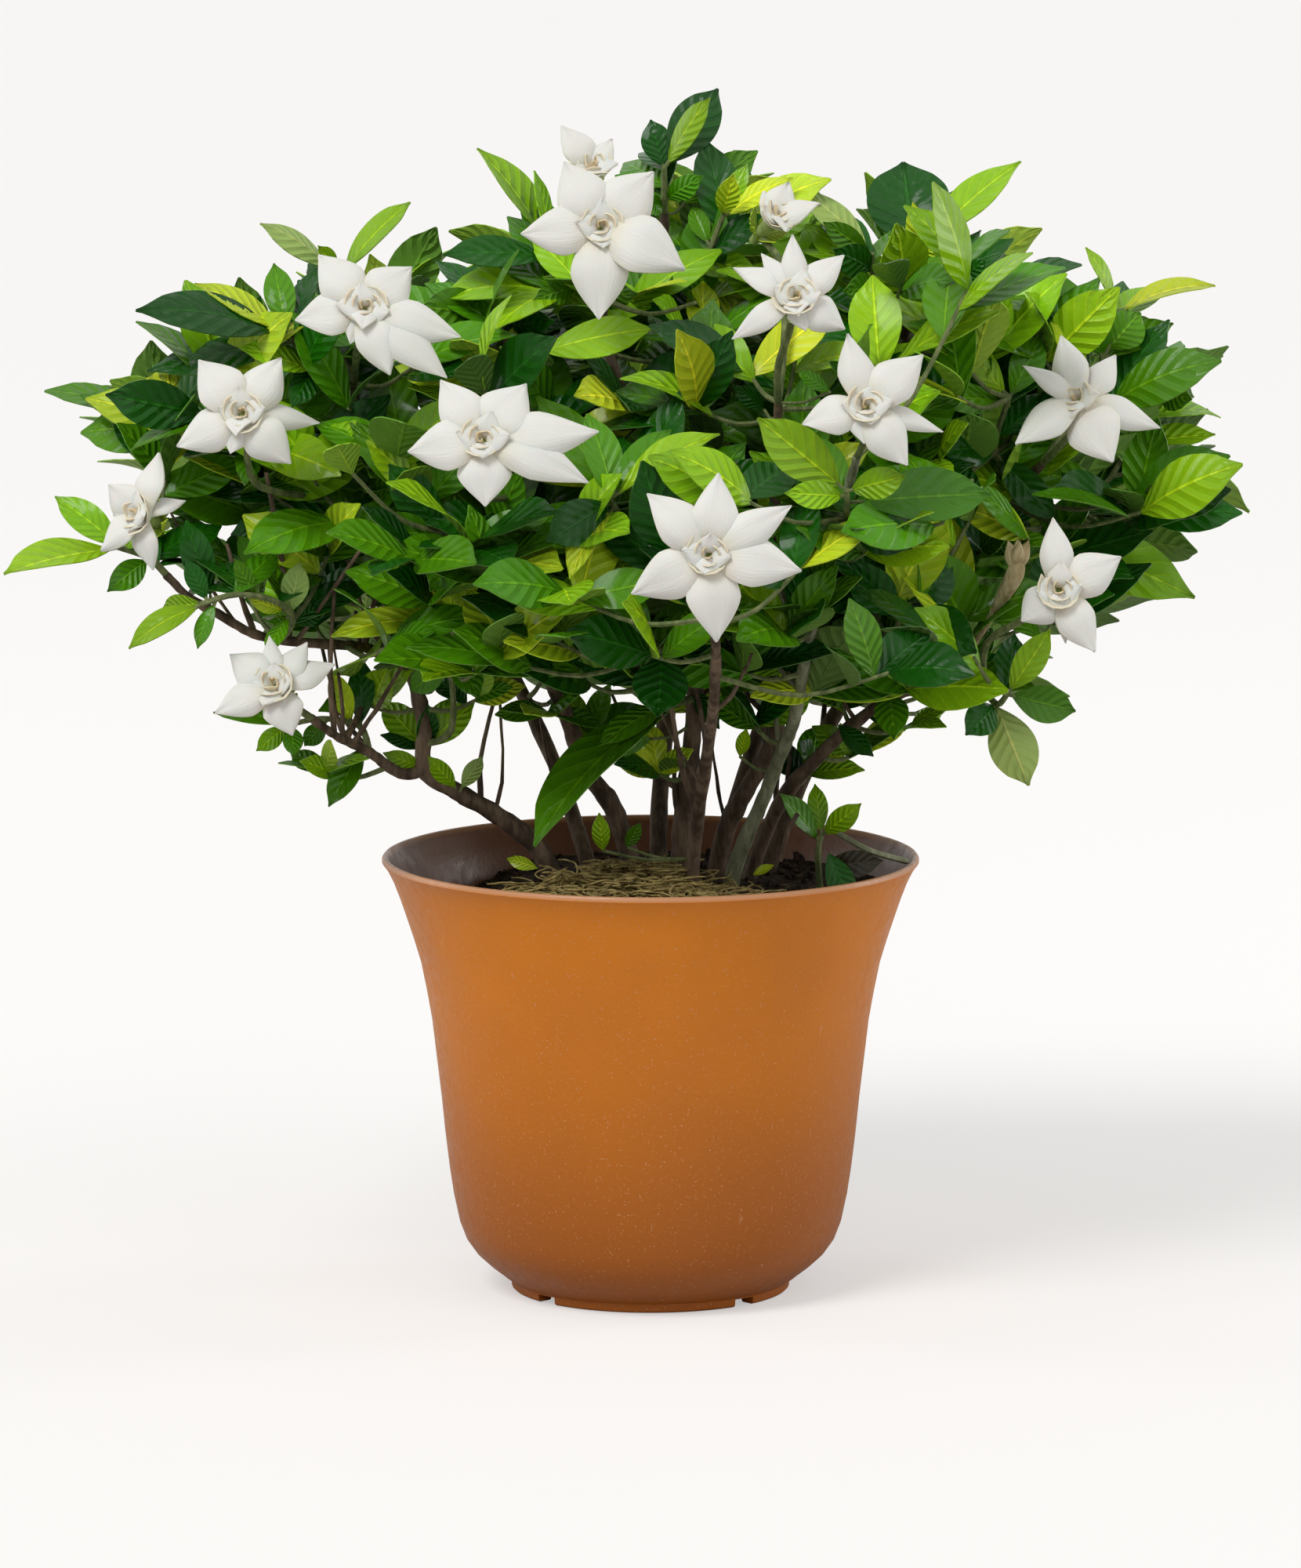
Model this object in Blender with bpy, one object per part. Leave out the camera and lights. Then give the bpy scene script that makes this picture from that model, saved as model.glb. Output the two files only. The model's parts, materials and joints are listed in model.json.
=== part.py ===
"""Potted gardenia: a flared plastic pot with potting mix, mulch, woody stems, leafy shoots and blooms.

Metres, +Z up. The origin is on the pot's axis, on the surface that it stands on. The crown was laid
out from the front: each point of a stem, twig, leaf or petal is written in millimetres as
(x, z, y), where x and z are its place seen from EYE_DISTANCE, SIGHT_PITCH above the horizontal, and
y is its depth, negative in front of the pot's axis. seen() turns such a point into its place and
stretches the depth by CROWN_DEPTH.
"""

import math

import bmesh
import bpy
from mathutils import Matrix, Vector
from mathutils.bvhtree import BVHTree

MM = 0.001
EYE_DISTANCE = 2600.0
EYE_HEIGHT = 180.0
SIGHT_PITCH = math.radians(8.5)
CROWN_DEPTH = 1.2

GAP = 0.3
SEAT_GAP = 0.15
LEAF_THICKNESS = 0.7
PETAL_THICKNESS = 0.8
LEAF_STEPS = 3
TWIG_RADIUS = 1.0

# Pot: outer profile as (height, radius), from the rim down to the foot.
POT_PROFILE = (
    (127.4, 78.6), (121.0, 75.2), (111.0, 71.6), (97.0, 67.2), (80.0, 64.0), (57.0, 61.3), (36.0, 59.0),
    (20.0, 56.1), (11.0, 51.4), (4.2, 43.4),
)
POT_INNER_HEIGHTS = (11.0, 20.0, 57.0, 97.0, 111.0, 121.0)
POT_WALL = 2.4
POT_FLOOR = 5.0
FOOT_RADIUS = 40.8
FOOT_INNER_RADIUS = 36.0
FOOT_HEIGHT = 2.6
FOOT_NOTCHES = 4
FOOT_NOTCH_TURN = math.radians(-48)
FOOT_NOTCH_WIDTH = 7.0
DRAIN_HOLES = 4
DRAIN_RING = 22.0
DRAIN_RADIUS = 4.0
POT_STEPS = 32

# Potting mix: its surface dips towards the left wall.
MIX_LEVEL = 117.5
MIX_DIP = 8.0
MIX_DIP_FROM = -30.0
MIX_DIP_TO = -62.0
MIX_RINGS = 3
MIX_SECTORS = 20
SOCKET_CLEARANCE = 0.4
SOCKET_EASE = 1.16

# Mulch of coconut fibre: a low crescent on the mix, inside the front wall.
MULCH_RADIUS = (30.0, 66.0)
MULCH_ARC = (math.radians(218), math.radians(300))
MULCH_HEIGHT = 6.5

# Woody stems: (radius at the foot, radius at the tip, points).
STEMS = {
    "stem_left": (3.1, 1.2, ((-24, 112, 4), (-33, 130, 2), (-45, 140, 0), (-57, 147, -4), (-66, 153, -8),
                             (-66, 166, -9), (-69, 180, -9), (-74, 198, -8), (-79, 216, -7), (-84, 236, -6),
                             (-85, 254, -10), (-86, 266, -20))),
    "stem_mid_left": (3.0, 1.2, ((-2, 112, 10), (-10, 140, 8), (-18, 152, 4), (-23, 165, -2), (-29, 180, -10),
                                 (-34, 191, -20), (-38, 208, -35), (-41, 228, -46), (-42, 250, -42),
                                 (-42, 270, -32), (-42, 279, -28))),
    "stem_centre": (3.3, 1.2, ((8, 110, 0), (9, 128, -2), (10, 145, -5), (12, 160, -8), (13, 178, -12),
                               (11, 198, -20), (6, 222, -30), (-2, 245, -36), (-9, 265, -36), (-13, 280, -34),
                               (-14, 292, -36))),
    "stem_mid_right": (3.0, 1.2, ((17, 110, 6), (22, 135, 4), (29, 149, 0), (36, 162, -5), (38, 180, -12),
                                  (36, 200, -25), (36, 225, -40), (37, 245, -50), (37, 260, -58))),
    "stem_grey": (2.4, 1.2, ((21, 110, -8), (26, 128, -10), (32, 142, -14), (37, 155, -20), (42, 168, -28),
                             (45, 185, -38), (50, 208, -50), (56, 230, -62), (60, 244, -70))),
    "stem_front": (2.2, 1.2, ((11, 110, -17), (14, 140, -30), (18, 168, -56), (19, 186, -80), (18, 198, -94))),
    "stem_low_right": (2.4, 1.2, ((25, 111, 14), (37, 142, 8), (49, 157, 0), (61, 168, -6), (74, 176, -12),
                                  (88, 177, -18), (97, 177, -22))),
    "stem_right": (2.6, 1.2, ((30, 111, 25), (44, 150, 24), (60, 180, 20), (78, 204, 14), (95, 224, 6),
                              (107, 236, -4), (114, 243, -12))),
    "stem_top_right": (2.6, 1.2, ((15, 110, 27), (30, 160, 36), (48, 205, 38), (62, 240, 30), (70, 268, 18),
                                  (75, 286, 9), (76, 295, 5))),
    "stem_top": (2.8, 1.2, ((2, 110, 23), (3, 150, 33), (7, 200, 36), (8, 250, 30), (5, 285, 16), (4, 306, 8),
                            (4, 316, 6))),
    "stem_back_left": (2.6, 1.2, ((-14, 110, 21), (-26, 150, 35), (-44, 190, 50), (-62, 222, 60),
                                  (-78, 246, 62))),
}
# Side branches: (parent, radius at the foot, radius at the tip, points).
BRANCHES = {
    "branch_low_left": ("stem_left", 1.8, 1.1, ((-73, 152, -12), (-82, 158, -18), (-92, 163, -28),
                                                (-99, 168, -36))),
    "branch_far_left": ("stem_left", 1.7, 1.1, ((-76, 186, -15), (-84, 189, -22), (-98, 190, -30),
                                                (-114, 192, -38), (-125, 198, -42), (-134, 203, -44),
                                                (-141, 210, -46))),
}
# Blooms: parent, way of the pedicel, heart, direction that it faces, and petals as
# (tip x, tip z, tip depth from the heart, width).
BLOOMS = {
    "bloom_crown": ("stem_centre", ((-14, 300, -42),), (-14.5, 310.5, -58), (0.05, -0.93, 0.36), (
        (-25, 330, 3, 14), (1, 327, 3, 15), (-37.5, 309, -2, 13), (10, 299, -3, 16), (-15, 284, -6, 15))),
    "bloom_left_top": ("stem_left", ((-85, 276, -40),), (-83, 287, -62), (0.05, -0.9, 0.42), (
        (-96, 303, 5, 13), (-69, 299.5, 5, 13), (-103, 284, 0, 12), (-55, 279, 0, 12), (-59, 267, -4, 11),
        (-75.5, 268, -6, 11), (-87, 277, -3, 7))),
    "bloom_left": ("stem_left", ((-98, 233, -26), (-115, 237, -44)), (-118.5, 256.5, -62),
                   (-0.1, -0.92, 0.36), (
        (-131, 272.5, 4, 13), (-107, 273, 4, 12), (-137.5, 247, 0, 12), (-104.5, 242, -2, 12),
        (-96, 254, 8, 7), (-122, 245, -3, 8))),
    "bloom_mid_left": ("stem_mid_left", ((-48, 232, -70), (-50, 236, -84)), (-48.5, 248, -100),
                       (-0.05, -0.92, 0.38), (
        (-61, 266, 5, 12), (-36, 265, 5, 14), (-70.5, 245, 0, 13), (-48, 229, -4, 14), (-15, 251, 2, 13),
        (-18, 236, 0, 11))),
    "bloom_front": ("stem_front", ((18, 204, -104),), (17, 214.5, -118), (0.0, -0.98, 0.2), (
        (-1, 232.5, 2, 12), (20, 238.5, 3, 12), (41, 229, 2, 10), (44, 210, 0, 13), (19.5, 189, -2, 14),
        (-5.5, 203, 0, 13))),
    "bloom_mid_right": ("stem_grey", ((62, 249, -78),), (62.5, 258, -92), (0.1, -0.92, 0.36), (
        (57, 279.5, 3, 10), (79, 273.5, 4, 12), (44, 253, 0, 11), (74.5, 241, -2, 12), (85, 251, 6, 6),
        (62, 247.5, -3, 9))),
    "bloom_right_top": ("stem_mid_right", ((37, 270, -64), (40, 280, -70)), (42, 290, -84),
                        (0.0, -0.9, 0.42), (
        (41, 308.5, 4, 7), (56, 302.5, 4, 9), (56.5, 281, 0, 10), (24, 299, 3, 7), (32, 303, 4, 6),
        (23.5, 278, 0, 7), (45, 280.5, -3, 7))),
    "bloom_right": ("stem_right", ((119, 248, -22),), (124, 261, -38), (-0.35, -0.75, 0.55), (
        (119, 280, 6, 10), (135, 274, 8, 10), (108, 271, -2, 6), (106, 248, -6, 12), (134, 243, -8, 15),
        (148, 253, 4, 9))),
    "bloom_low_right": ("stem_low_right", ((98, 190, -34), (109, 197, -42)), (119, 205, -58),
                        (0.05, -0.93, 0.3), (
        (117, 226.5, 4, 9), (137, 215, 3, 12), (129.5, 187, -2, 11), (108, 196, -1, 11), (121, 189.5, 2, 5))),
    "bloom_far_left": ("branch_far_left", ((-146, 217, -48),), (-148.5, 227, -60), (-0.6, -0.72, 0.32), (
        (-143, 245.5, 4, 10), (-157.5, 236, 2, 10), (-160, 217, -2, 9), (-135, 231.5, 4, 5),
        (-145, 211, -3, 8))),
    "bloom_low_left": ("branch_low_left", ((-105, 172, -44),), (-109.5, 177, -56), (-0.25, -0.8, 0.5), (
        (-122.5, 186.5, 3, 11), (-127, 169, -2, 10), (-104.5, 162.5, -3, 11), (-92, 183.5, 3, 9),
        (-100, 190, 4, 9), (-111, 192, 5, 6))),
    "bloom_behind": ("stem_centre", ((-16, 305, -28), (-19, 318, -20)), (-17, 328, -24), (0.1, -0.6, 0.8), (
        (-25.5, 341, 2, 10), (-11, 337, 2, 7), (-10, 330, -3, 8))),
    "bloom_hidden": ("stem_mid_right", ((39, 282, -48), (38, 300, -36)), (36, 314, -32), (0.5, -0.6, 0.6), (
        (49, 318, -3, 9), (40, 324.5, 3, 9), (33, 322, 3, 7))),
}
BLOOM_TUBE_RADIUS = 1.5
BLOOM_THROAT_RADIUS = 3.2
BLOOM_TUBE_LENGTH = 9.0

FADED_BUD = ("stem_low_right", ((91, 184, -20), (98, 196, -28), (105, 208, -34), (107, 214, -35)))

# Leafy shoots: parent, way of the twig, and leaves as
# (place along the twig, tip x, tip z, tip depth from its foot, seen width).
SHOOTS = {
    "shoot_left_top": ("stem_left", ((-94, 268, -26), (-106, 281, -36)), (
        (1.0, -149, 287, -14, 12), (1.0, -132, 295, -2, 6), (0.95, -109, 301, 10, 9), (0.9, -96, 300, 12, 7),
        (0.85, -146, 269.5, -4, 10), (0.5, -104, 259, -12, 8))),
    "shoot_left": ("stem_left", ((-100, 246, -16), (-118, 253, -30), (-129, 257, -34)), (
        (1.0, -158, 262.5, -10, 14), (0.95, -151, 246.5, -8, 4), (0.55, -104, 270, -8, 9),
        (0.4, -92, 264, 6, 8), (0.7, -118, 236, -12, 8))),
    "shoot_far_left": ("branch_far_left", ((-146, 215, -38), (-155, 218, -42)), (
        (1.0, -188, 210, -22, 8), (0.9, -173, 233, 6, 9), (0.5, -158, 205, -8, 8), (0.4, -140, 222, 16, 8),
        (0.6, -146, 236, 22, 7))),
    "shoot_low_left": ("branch_far_left", ((-104, 197, -42), (-109, 202, -49), (-120, 204, -55),
                                           (-131, 201, -59)), (
        (1.0, -152, 188, -4, 7), (0.98, -142, 200, 6, 7), (0.9, -132, 188, -2, 5), (0.95, -135, 214, 2, 6),
        (0.62, -121, 214.5, -2, 5), (0.3, -102, 213.5, -4, 8), (0.35, -117, 203, -6, 5),
        (0.2, -96, 200, 4, 7), (0.3, -112, 187, -8, 5))),
    "shoot_hanging": ("branch_low_left", ((-85, 166, -16), (-96, 168, -17), (-106, 166, -18)), (
        (0.1, -94, 142, -10, 8), (0.35, -93, 182, -2, 7), (0.25, -84, 186, 4, 8), (0.6, -101, 160, 2, 6),
        (1.0, -115, 158.5, -4, 6), (0.95, -104, 157, -8, 6), (1.0, -127.5, 170, 6, 5))),
    "shoot_over_left": ("stem_left", ((-90, 280, -14), (-90, 298, -14)), (
        (1.0, -113, 312.5, -4, 6), (1.0, -69.5, 319, 4, 7), (0.95, -96, 306, -10, 5), (0.6, -70, 292, 16, 9),
        (0.7, -102, 295, 14, 9))),
    "shoot_arch_left": ("stem_left", ((-82, 225, -20), (-86, 226, -30)), (
        (1.0, -118, 216, -30, 13), (0.9, -116, 226, 4, 9), (0.8, -104, 240, 4, 9), (0.6, -70, 240, -16, 8))),
    "shoot_mid_left": ("stem_mid_left", ((-50, 212, -44), (-60, 222, -54)), (
        (1.0, -76, 242, -6, 12), (1.0, -84, 222, -8, 12), (0.7, -64, 205, -14, 12), (0.4, -46, 228, -4, 11))),
    "shoot_behind_left": ("stem_mid_left", ((-44, 283, -20), (-45, 287, -18)), (
        (1.0, -67, 288, -10, 13), (1.0, -50, 300, 4, 9), (0.9, -41, 303, -2, 5), (0.6, -28, 284, -14, 9),
        (0.8, -62, 302, 12, 7))),
    "shoot_top_left": ("stem_centre", ((-22, 296, -24), (-29, 305, -18)), (
        (0.9, -60, 303.5, -8, 9), (1.0, -50, 334.5, 6, 7), (1.0, -33.5, 328, 2, 4), (0.5, -34, 290, -6, 7),
        (0.3, -4, 292, -8, 8))),
    "shoot_top": ("stem_top", ((4, 322, 2), (4, 329, 0)), (
        (1.0, 19.5, 352, 8, 14), (1.0, 17, 349, -6, 7), (0.95, 0, 343, 4, 9), (0.3, 15, 326.5, -8, 7),
        (0.2, -2, 318, -6, 6))),
    "shoot_top_yellow": ("stem_top", ((14, 300, -2), (21, 315, -8)), (
        (1.0, 28, 330, 3, 6), (1.0, 41, 326, -4, 6), (1.0, 24, 327, -8, 7), (0.7, 12, 318, 6, 6),
        (0.5, 35.5, 314.5, -12, 7), (0.3, 31, 299, -12, 8), (0.2, -2, 304, -10, 7))),
    "shoot_right_top": ("stem_top_right", ((76, 301, 2), (77, 304, 0)), (
        (0.8, 73, 331, 16, 24), (1.0, 76, 319, -4, 6), (1.0, 107, 331, 4, 9), (0.9, 69, 309, -6, 4),
        (0.8, 85, 308, -6, 5), (0.6, 93, 325.5, 18, 7))),
    "shoot_right_crest": ("stem_top_right", ((66, 292, -6), (64, 304, -14)), (
        (1.0, 43, 322.5, 8, 8), (1.0, 50, 313, -4, 7), (0.8, 53, 305, -10, 10), (0.6, 56, 293, -12, 10),
        (0.5, 84, 292, -10, 9))),
    "shoot_curly": ("stem_top_right", ((84, 286, -4), (88, 296, -8)), (
        (1.0, 89, 308, -6, 7), (1.0, 97, 302, -2, 8), (0.9, 95.5, 311, 8, 5), (0.5, 112, 283, -6, 9),
        (0.3, 92, 276, -14, 10))),
    "shoot_right_mid": ("stem_right", ((100, 246, -10), (104, 262, -18)), (
        (1.0, 88, 281, 2, 9), (1.0, 113, 280, 6, 10), (0.95, 80, 262, -14, 9), (0.5, 84, 246, -20, 11),
        (0.4, 118, 226, -6, 10))),
    "shoot_far_right_top": ("stem_right", ((126, 262, -6), (132, 276, -6), (135, 288, -4)), (
        (0.7, 126, 290, -4, 11), (0.75, 142, 287, 2, 12), (0.7, 151.5, 284, 8, 8), (1.0, 126, 306, 2, 4),
        (1.0, 163.5, 295, 8, 5), (0.6, 106, 300, 10, 8), (0.5, 116, 284, -8, 7))),
    "shoot_far_right": ("stem_right", ((112, 224, 16), (124, 230, 22), (134, 240, 24), (141, 254, 22),
                                       (148, 266, 20)), (
        (1.0, 145, 280, 0, 12), (1.0, 166, 275, 6, 6), (0.97, 157, 262, -8, 9), (0.75, 164, 252, 2, 7),
        (0.85, 138, 272, -4, 8), (0.55, 174, 230, 32, 14), (0.45, 148, 230, 2, 5),
        (0.2, 158.5, 204, -6, 17))),
    "shoot_lower_right": ("stem_low_right", ((101, 172, -30), (104, 175, -34)), (
        (1.0, 116.5, 194, -2, 9), (0.9, 106, 193, 6, 9), (1.0, 124, 170, 2, 11), (0.5, 110.5, 148, -6, 14),
        (0.3, 87, 184, -10, 10), (0.6, 92, 163, -8, 10))),
    "shoot_inner_right": ("stem_low_right", ((66, 180, -20), (70, 190, -30), (74, 200, -40)), (
        (1.0, 95, 187, -10, 16), (1.0, 88, 213, 2, 13), (0.4, 48, 190, -6, 7), (0.3, 80, 186, -12, 10),
        (0.1, 71, 162, -14, 10), (0.9, 57, 214, -6, 12))),
    "shoot_centre_right": ("stem_grey", ((57, 226, -76), (57, 234, -84)), (
        (1.0, 31, 255, -2, 14), (1.0, 74, 238, -6, 9), (0.9, 39, 233, -8, 8), (0.8, 99, 233, 12, 15),
        (0.5, 76, 217, -8, 12))),
    "shoot_yellow": ("stem_left", ((-58, 165, -14), (-58, 184, -24), (-57, 198, -32)), (
        (1.0, -80, 208, -4, 7), (1.0, -60, 211, 4, 7), (1.0, -48, 214, -4, 5), (0.97, -93, 192, -8, 8),
        (0.95, -23, 193, -8, 10), (0.8, -50, 174, -10, 9), (0.7, -70, 176, 6, 8))),
    "shoot_centre": ("stem_centre", ((-4, 222, -60), (-12, 232, -82)), (
        (1.0, 20, 250.5, 0, 7), (1.0, 6, 252, 10, 9), (0.95, -30, 219, -6, 13), (0.9, -23.5, 208, -12, 6),
        (0.7, -33, 262, 12, 13), (0.6, 9, 264, 6, 12), (0.5, -10, 205, -14, 8))),
    "shoot_low_centre": ("stem_centre", ((4, 172, -26), (-4, 176, -40), (4, 188, -52)), (
        (1.0, 2, 168, -12, 16), (0.6, -12, 188, -8, 9), (0.6, -18, 191, -2, 8), (0.2, -34, 130, -28, 12),
        (0.3, -15, 160, -10, 7))),
    "pot_shoot": (None, ((50, 112, -4), (49, 128, -8), (50, 134, -8)), (
        (1.0, 61.5, 143, -4, 7), (1.0, 48, 149, 4, 6), (0.9, 38, 146, -4, 6))),
    "shoot_back_left": ("stem_back_left", ((-88, 250, 78), (-96, 254, 92)), (
        (1.0, -136, 262, 4, 16), (1.0, -98, 276, 20, 15), (0.9, -70, 268, 24, 15), (0.8, -120, 232, 14, 15),
        (0.6, -86, 226, 26, 15))),
    "shoot_back_right": ("stem_right", ((92, 228, 30), (100, 246, 66), (104, 256, 90)), (
        (1.0, 138, 272, 4, 16), (1.0, 106, 286, 14, 15), (0.9, 78, 266, 26, 15), (0.8, 128, 244, 16, 15),
        (0.6, 92, 230, 28, 15))),
    "shoot_back_top": ("stem_top", ((6, 262, 60), (4, 276, 84)), (
        (1.0, -18, 300, 6, 14), (1.0, 24, 304, 8, 15), (0.9, -30, 268, 22, 16), (0.9, 34, 272, 22, 16),
        (0.6, 4, 250, 36, 16))),
    "shoot_back_low": ("stem_back_left", ((-36, 190, 64), (-10, 198, 90), (14, 202, 104)), (
        (1.0, 2, 214, 12, 15), (1.0, 34, 218, 16, 15), (0.8, 2, 190, 12, 15), (0.6, 52, 200, 20, 15),
        (0.9, 18, 182, 20, 15))),
}

FALLEN_LEAF = ((52, 128, -33), (59, 112.5, -36), 8)

COLOURS = {
    "pot": ((0.45, 0.17, 0.04), 0.35), "mix": ((0.03, 0.02, 0.015), 0.95),
    "mulch": ((0.25, 0.17, 0.06), 0.9), "bark": ((0.12, 0.08, 0.05), 0.8),
    "leaf": ((0.03, 0.16, 0.01), 0.3), "petal": ((0.85, 0.82, 0.78), 0.5),
}

parts = None
helpers = None
placed = {}
stem_lines = {}
stem_feet = {}


def seen(point):
    """The place, in millimetres, of a point laid out from the front."""
    x, z, y = point
    y *= CROWN_DEPTH
    nearness = 1 + y / EYE_DISTANCE
    return Vector((x * nearness, y, EYE_HEIGHT + (z - EYE_HEIGHT) * nearness - y * math.tan(SIGHT_PITCH)))


def smooth_line(points, steps):
    """Points of a Catmull-Rom curve through the given ones, with this many steps to each span."""
    line = []
    for i in range(len(points) - 1):
        before, a, b = points[max(i - 1, 0)], points[i], points[i + 1]
        after = points[min(i + 2, len(points) - 1)]
        for s in range(steps):
            t = s / steps
            line.append(0.5 * (2 * a + (b - before) * t + (2 * before - 5 * a + 4 * b - after) * t * t
                               + (3 * a - before - 3 * b + after) * t ** 3))
    return line + [points[-1]]


def along(line, share):
    """The point at this share of a line's length."""
    lengths = [(b - a).length for a, b in zip(line, line[1:])]
    left = share * sum(lengths)
    for a, b, length in zip(line, line[1:], lengths):
        if left <= length:
            return a.lerp(b, left / length)
        left -= length
    return line[-1].copy()


def material(name):
    made = bpy.data.materials.get(name)
    if made is None:
        colour, roughness = COLOURS[name]
        made = bpy.data.materials.new(name)
        made.use_nodes = True
        shader = made.node_tree.nodes["Principled BSDF"]
        shader.inputs["Base Color"].default_value = (*colour, 1)
        shader.inputs["Roughness"].default_value = roughness
    return made


def object_from(bm, name, finish, collection):
    """A new object from a bmesh in millimetres."""
    bmesh.ops.scale(bm, vec=(MM, MM, MM), verts=bm.verts)
    mesh = bpy.data.meshes.new(name)
    bm.to_mesh(mesh)
    bm.free()
    mesh.materials.append(material(finish))
    made = bpy.data.objects.new(name, mesh)
    collection.objects.link(made)
    return made


def tube(line, radii, name, finish, collection, sides=1):
    """A solid tube along a line in millimetres; 4 + 2 * sides edges round."""
    data = bpy.data.curves.new(name, "CURVE")
    data.dimensions = "3D"
    data.bevel_depth = MM
    data.bevel_resolution = sides
    data.use_fill_caps = True
    spline = data.splines.new("POLY")
    spline.points.add(len(line) - 1)
    for point, place, radius in zip(spline.points, line, radii):
        point.co = (*(place * MM), 1)
        point.radius = radius
    curve = bpy.data.objects.new(name + "_line", data)
    collection.objects.link(curve)
    graph = bpy.context.evaluated_depsgraph_get()
    mesh = bpy.data.meshes.new_from_object(curve.evaluated_get(graph))
    bpy.data.objects.remove(curve)
    bm = bmesh.new()
    bm.from_mesh(mesh)
    bmesh.ops.remove_doubles(bm, verts=bm.verts, dist=1e-6)
    bmesh.ops.recalc_face_normals(bm, faces=bm.faces)
    bm.to_mesh(mesh)
    bm.free()
    mesh.name = name
    mesh.materials.clear()
    mesh.materials.append(material(finish))
    made = bpy.data.objects.new(name, mesh)
    collection.objects.link(made)
    return made


def sheet(foot, tip, width, bow, normal, thickness, shape):
    """A thin closed sheet from foot to tip in a bmesh; shape(u) is its half width's share at u."""
    bm = bmesh.new()
    bmesh.ops.create_grid(bm, x_segments=LEAF_STEPS, y_segments=1, size=0.5)
    across = (tip - foot).cross(normal).normalized()
    for vert in bm.verts:
        u, v = vert.co.x + 0.5, vert.co.y * 2
        spine = foot.lerp(tip, u) + normal * (bow * 4 * u * (1 - u))
        vert.co = spine + across * (v * 0.5 * width * shape(u))
    bmesh.ops.recalc_face_normals(bm, faces=bm.faces)
    bmesh.ops.solidify(bm, geom=bm.faces[:], thickness=thickness)
    bmesh.ops.recalc_face_normals(bm, faces=bm.faces)
    return bm


def leaf_shape(u):
    return max(0.1, math.sin(math.pi * min(1, max(0, (u - 0.02) / 0.97))) ** 0.8)


def petal_shape(u):
    return 0.35 + 0.65 * math.sin(math.pi * u ** 1.15) ** 0.7 if u < 0.55 else \
        max(0.12, math.sin(math.pi * u ** 1.15) ** 0.7)


def leaf_normal(foot, tip, width):
    """The upper side's direction: turned up from the front view as far as the seen width needs."""
    way = (tip - foot).normalized()
    length = (tip - foot).length
    full = max(width, 0.36 * length)
    front = Vector((0, -1, 0.1))
    if foot.y + tip.y > 60:
        front.y = 1
    front = (front - way * front.dot(way)).normalized()
    up = way.cross(front)
    if up.z < 0:
        up = -up
    turn = math.acos(min(1, width / full))
    return (front * math.cos(turn) + up * math.sin(turn)).normalized(), full


def tree_of(made):
    """(tree, box) of an object's evaluated mesh, in metres."""
    graph = bpy.context.evaluated_depsgraph_get()
    evaluated = made.evaluated_get(graph)
    mesh = evaluated.to_mesh()
    points = [vert.co.copy() for vert in mesh.vertices]
    faces = [tuple(face.vertices) for face in mesh.polygons]
    evaluated.to_mesh_clear()
    low = Vector([min(p[i] for p in points) for i in range(3)])
    high = Vector([max(p[i] for p in points) for i in range(3)])
    return BVHTree.FromPolygons(points, faces), (low, high)


def clear_of(bm, skip=()):
    """Whether a bmesh in millimetres crosses none of the placed solids."""
    points = [vert.co * MM for vert in bm.verts]
    faces = [[vert.index for vert in face.verts] for face in bm.faces]
    tree = BVHTree.FromPolygons(points, faces)
    low = Vector([min(p[i] for p in points) for i in range(3)])
    high = Vector([max(p[i] for p in points) for i in range(3)])
    for name, (other, box) in placed.items():
        if name in skip or any(low[i] > box[1][i] or high[i] < box[0][i] for i in range(3)):
            continue
        if tree.overlap(other):
            return False
    return True


def place(made):
    placed[made.name] = tree_of(made)


def seat(parent, toward, radius):
    """The foot of a twig of this radius, GAP off its parent's surface, on the way to a point."""
    line = stem_lines[parent]
    low = toward - Vector((0, 0, 6))
    nearest = min(line[2:], key=lambda point: (point - low).length)
    way = (toward - nearest).normalized()
    length = (toward - nearest).length
    reach = 1.0
    while reach < length - 1:
        foot = nearest + way * reach
        bm = bmesh.new()
        bmesh.ops.create_cone(bm, cap_ends=True, segments=8, radius1=1.1 * radius + SEAT_GAP,
                              radius2=1.1 * radius + SEAT_GAP, depth=length - reach)
        bmesh.ops.rotate(bm, verts=bm.verts, cent=(0, 0, 0), matrix=way.to_track_quat("Z", "Y").to_matrix())
        bmesh.ops.translate(bm, verts=bm.verts, vec=(foot + toward) / 2 - way * SEAT_GAP)
        is_clear = clear_of(bm)
        bm.free()
        if is_clear:
            return foot
        reach += 0.1
    print("no seat on", parent)
    return nearest + way * 4


def combine(body, pieces, operation):
    """Joins pieces to a body, or cuts them from it, and removes them."""
    group = bpy.data.collections.new(body.name + "_pieces")
    helpers.children.link(group)
    for piece in pieces:
        group.objects.link(piece)
    change = body.modifiers.new("Combine", "BOOLEAN")
    change.operation = operation
    change.operand_type = "COLLECTION"
    change.collection = group
    graph = bpy.context.evaluated_depsgraph_get()
    mesh = bpy.data.meshes.new_from_object(body.evaluated_get(graph))
    body.modifiers.remove(change)
    body.data = mesh
    mesh.name = body.name
    for piece in pieces:
        bpy.data.objects.remove(piece)
    bpy.data.collections.remove(group)


def outer_radius(height):
    for (high, upper), (low, lower) in zip(POT_PROFILE, POT_PROFILE[1:]):
        if low <= height <= high:
            return lower + (upper - lower) * (height - low) / (high - low)
    return POT_PROFILE[-1][1]


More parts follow.
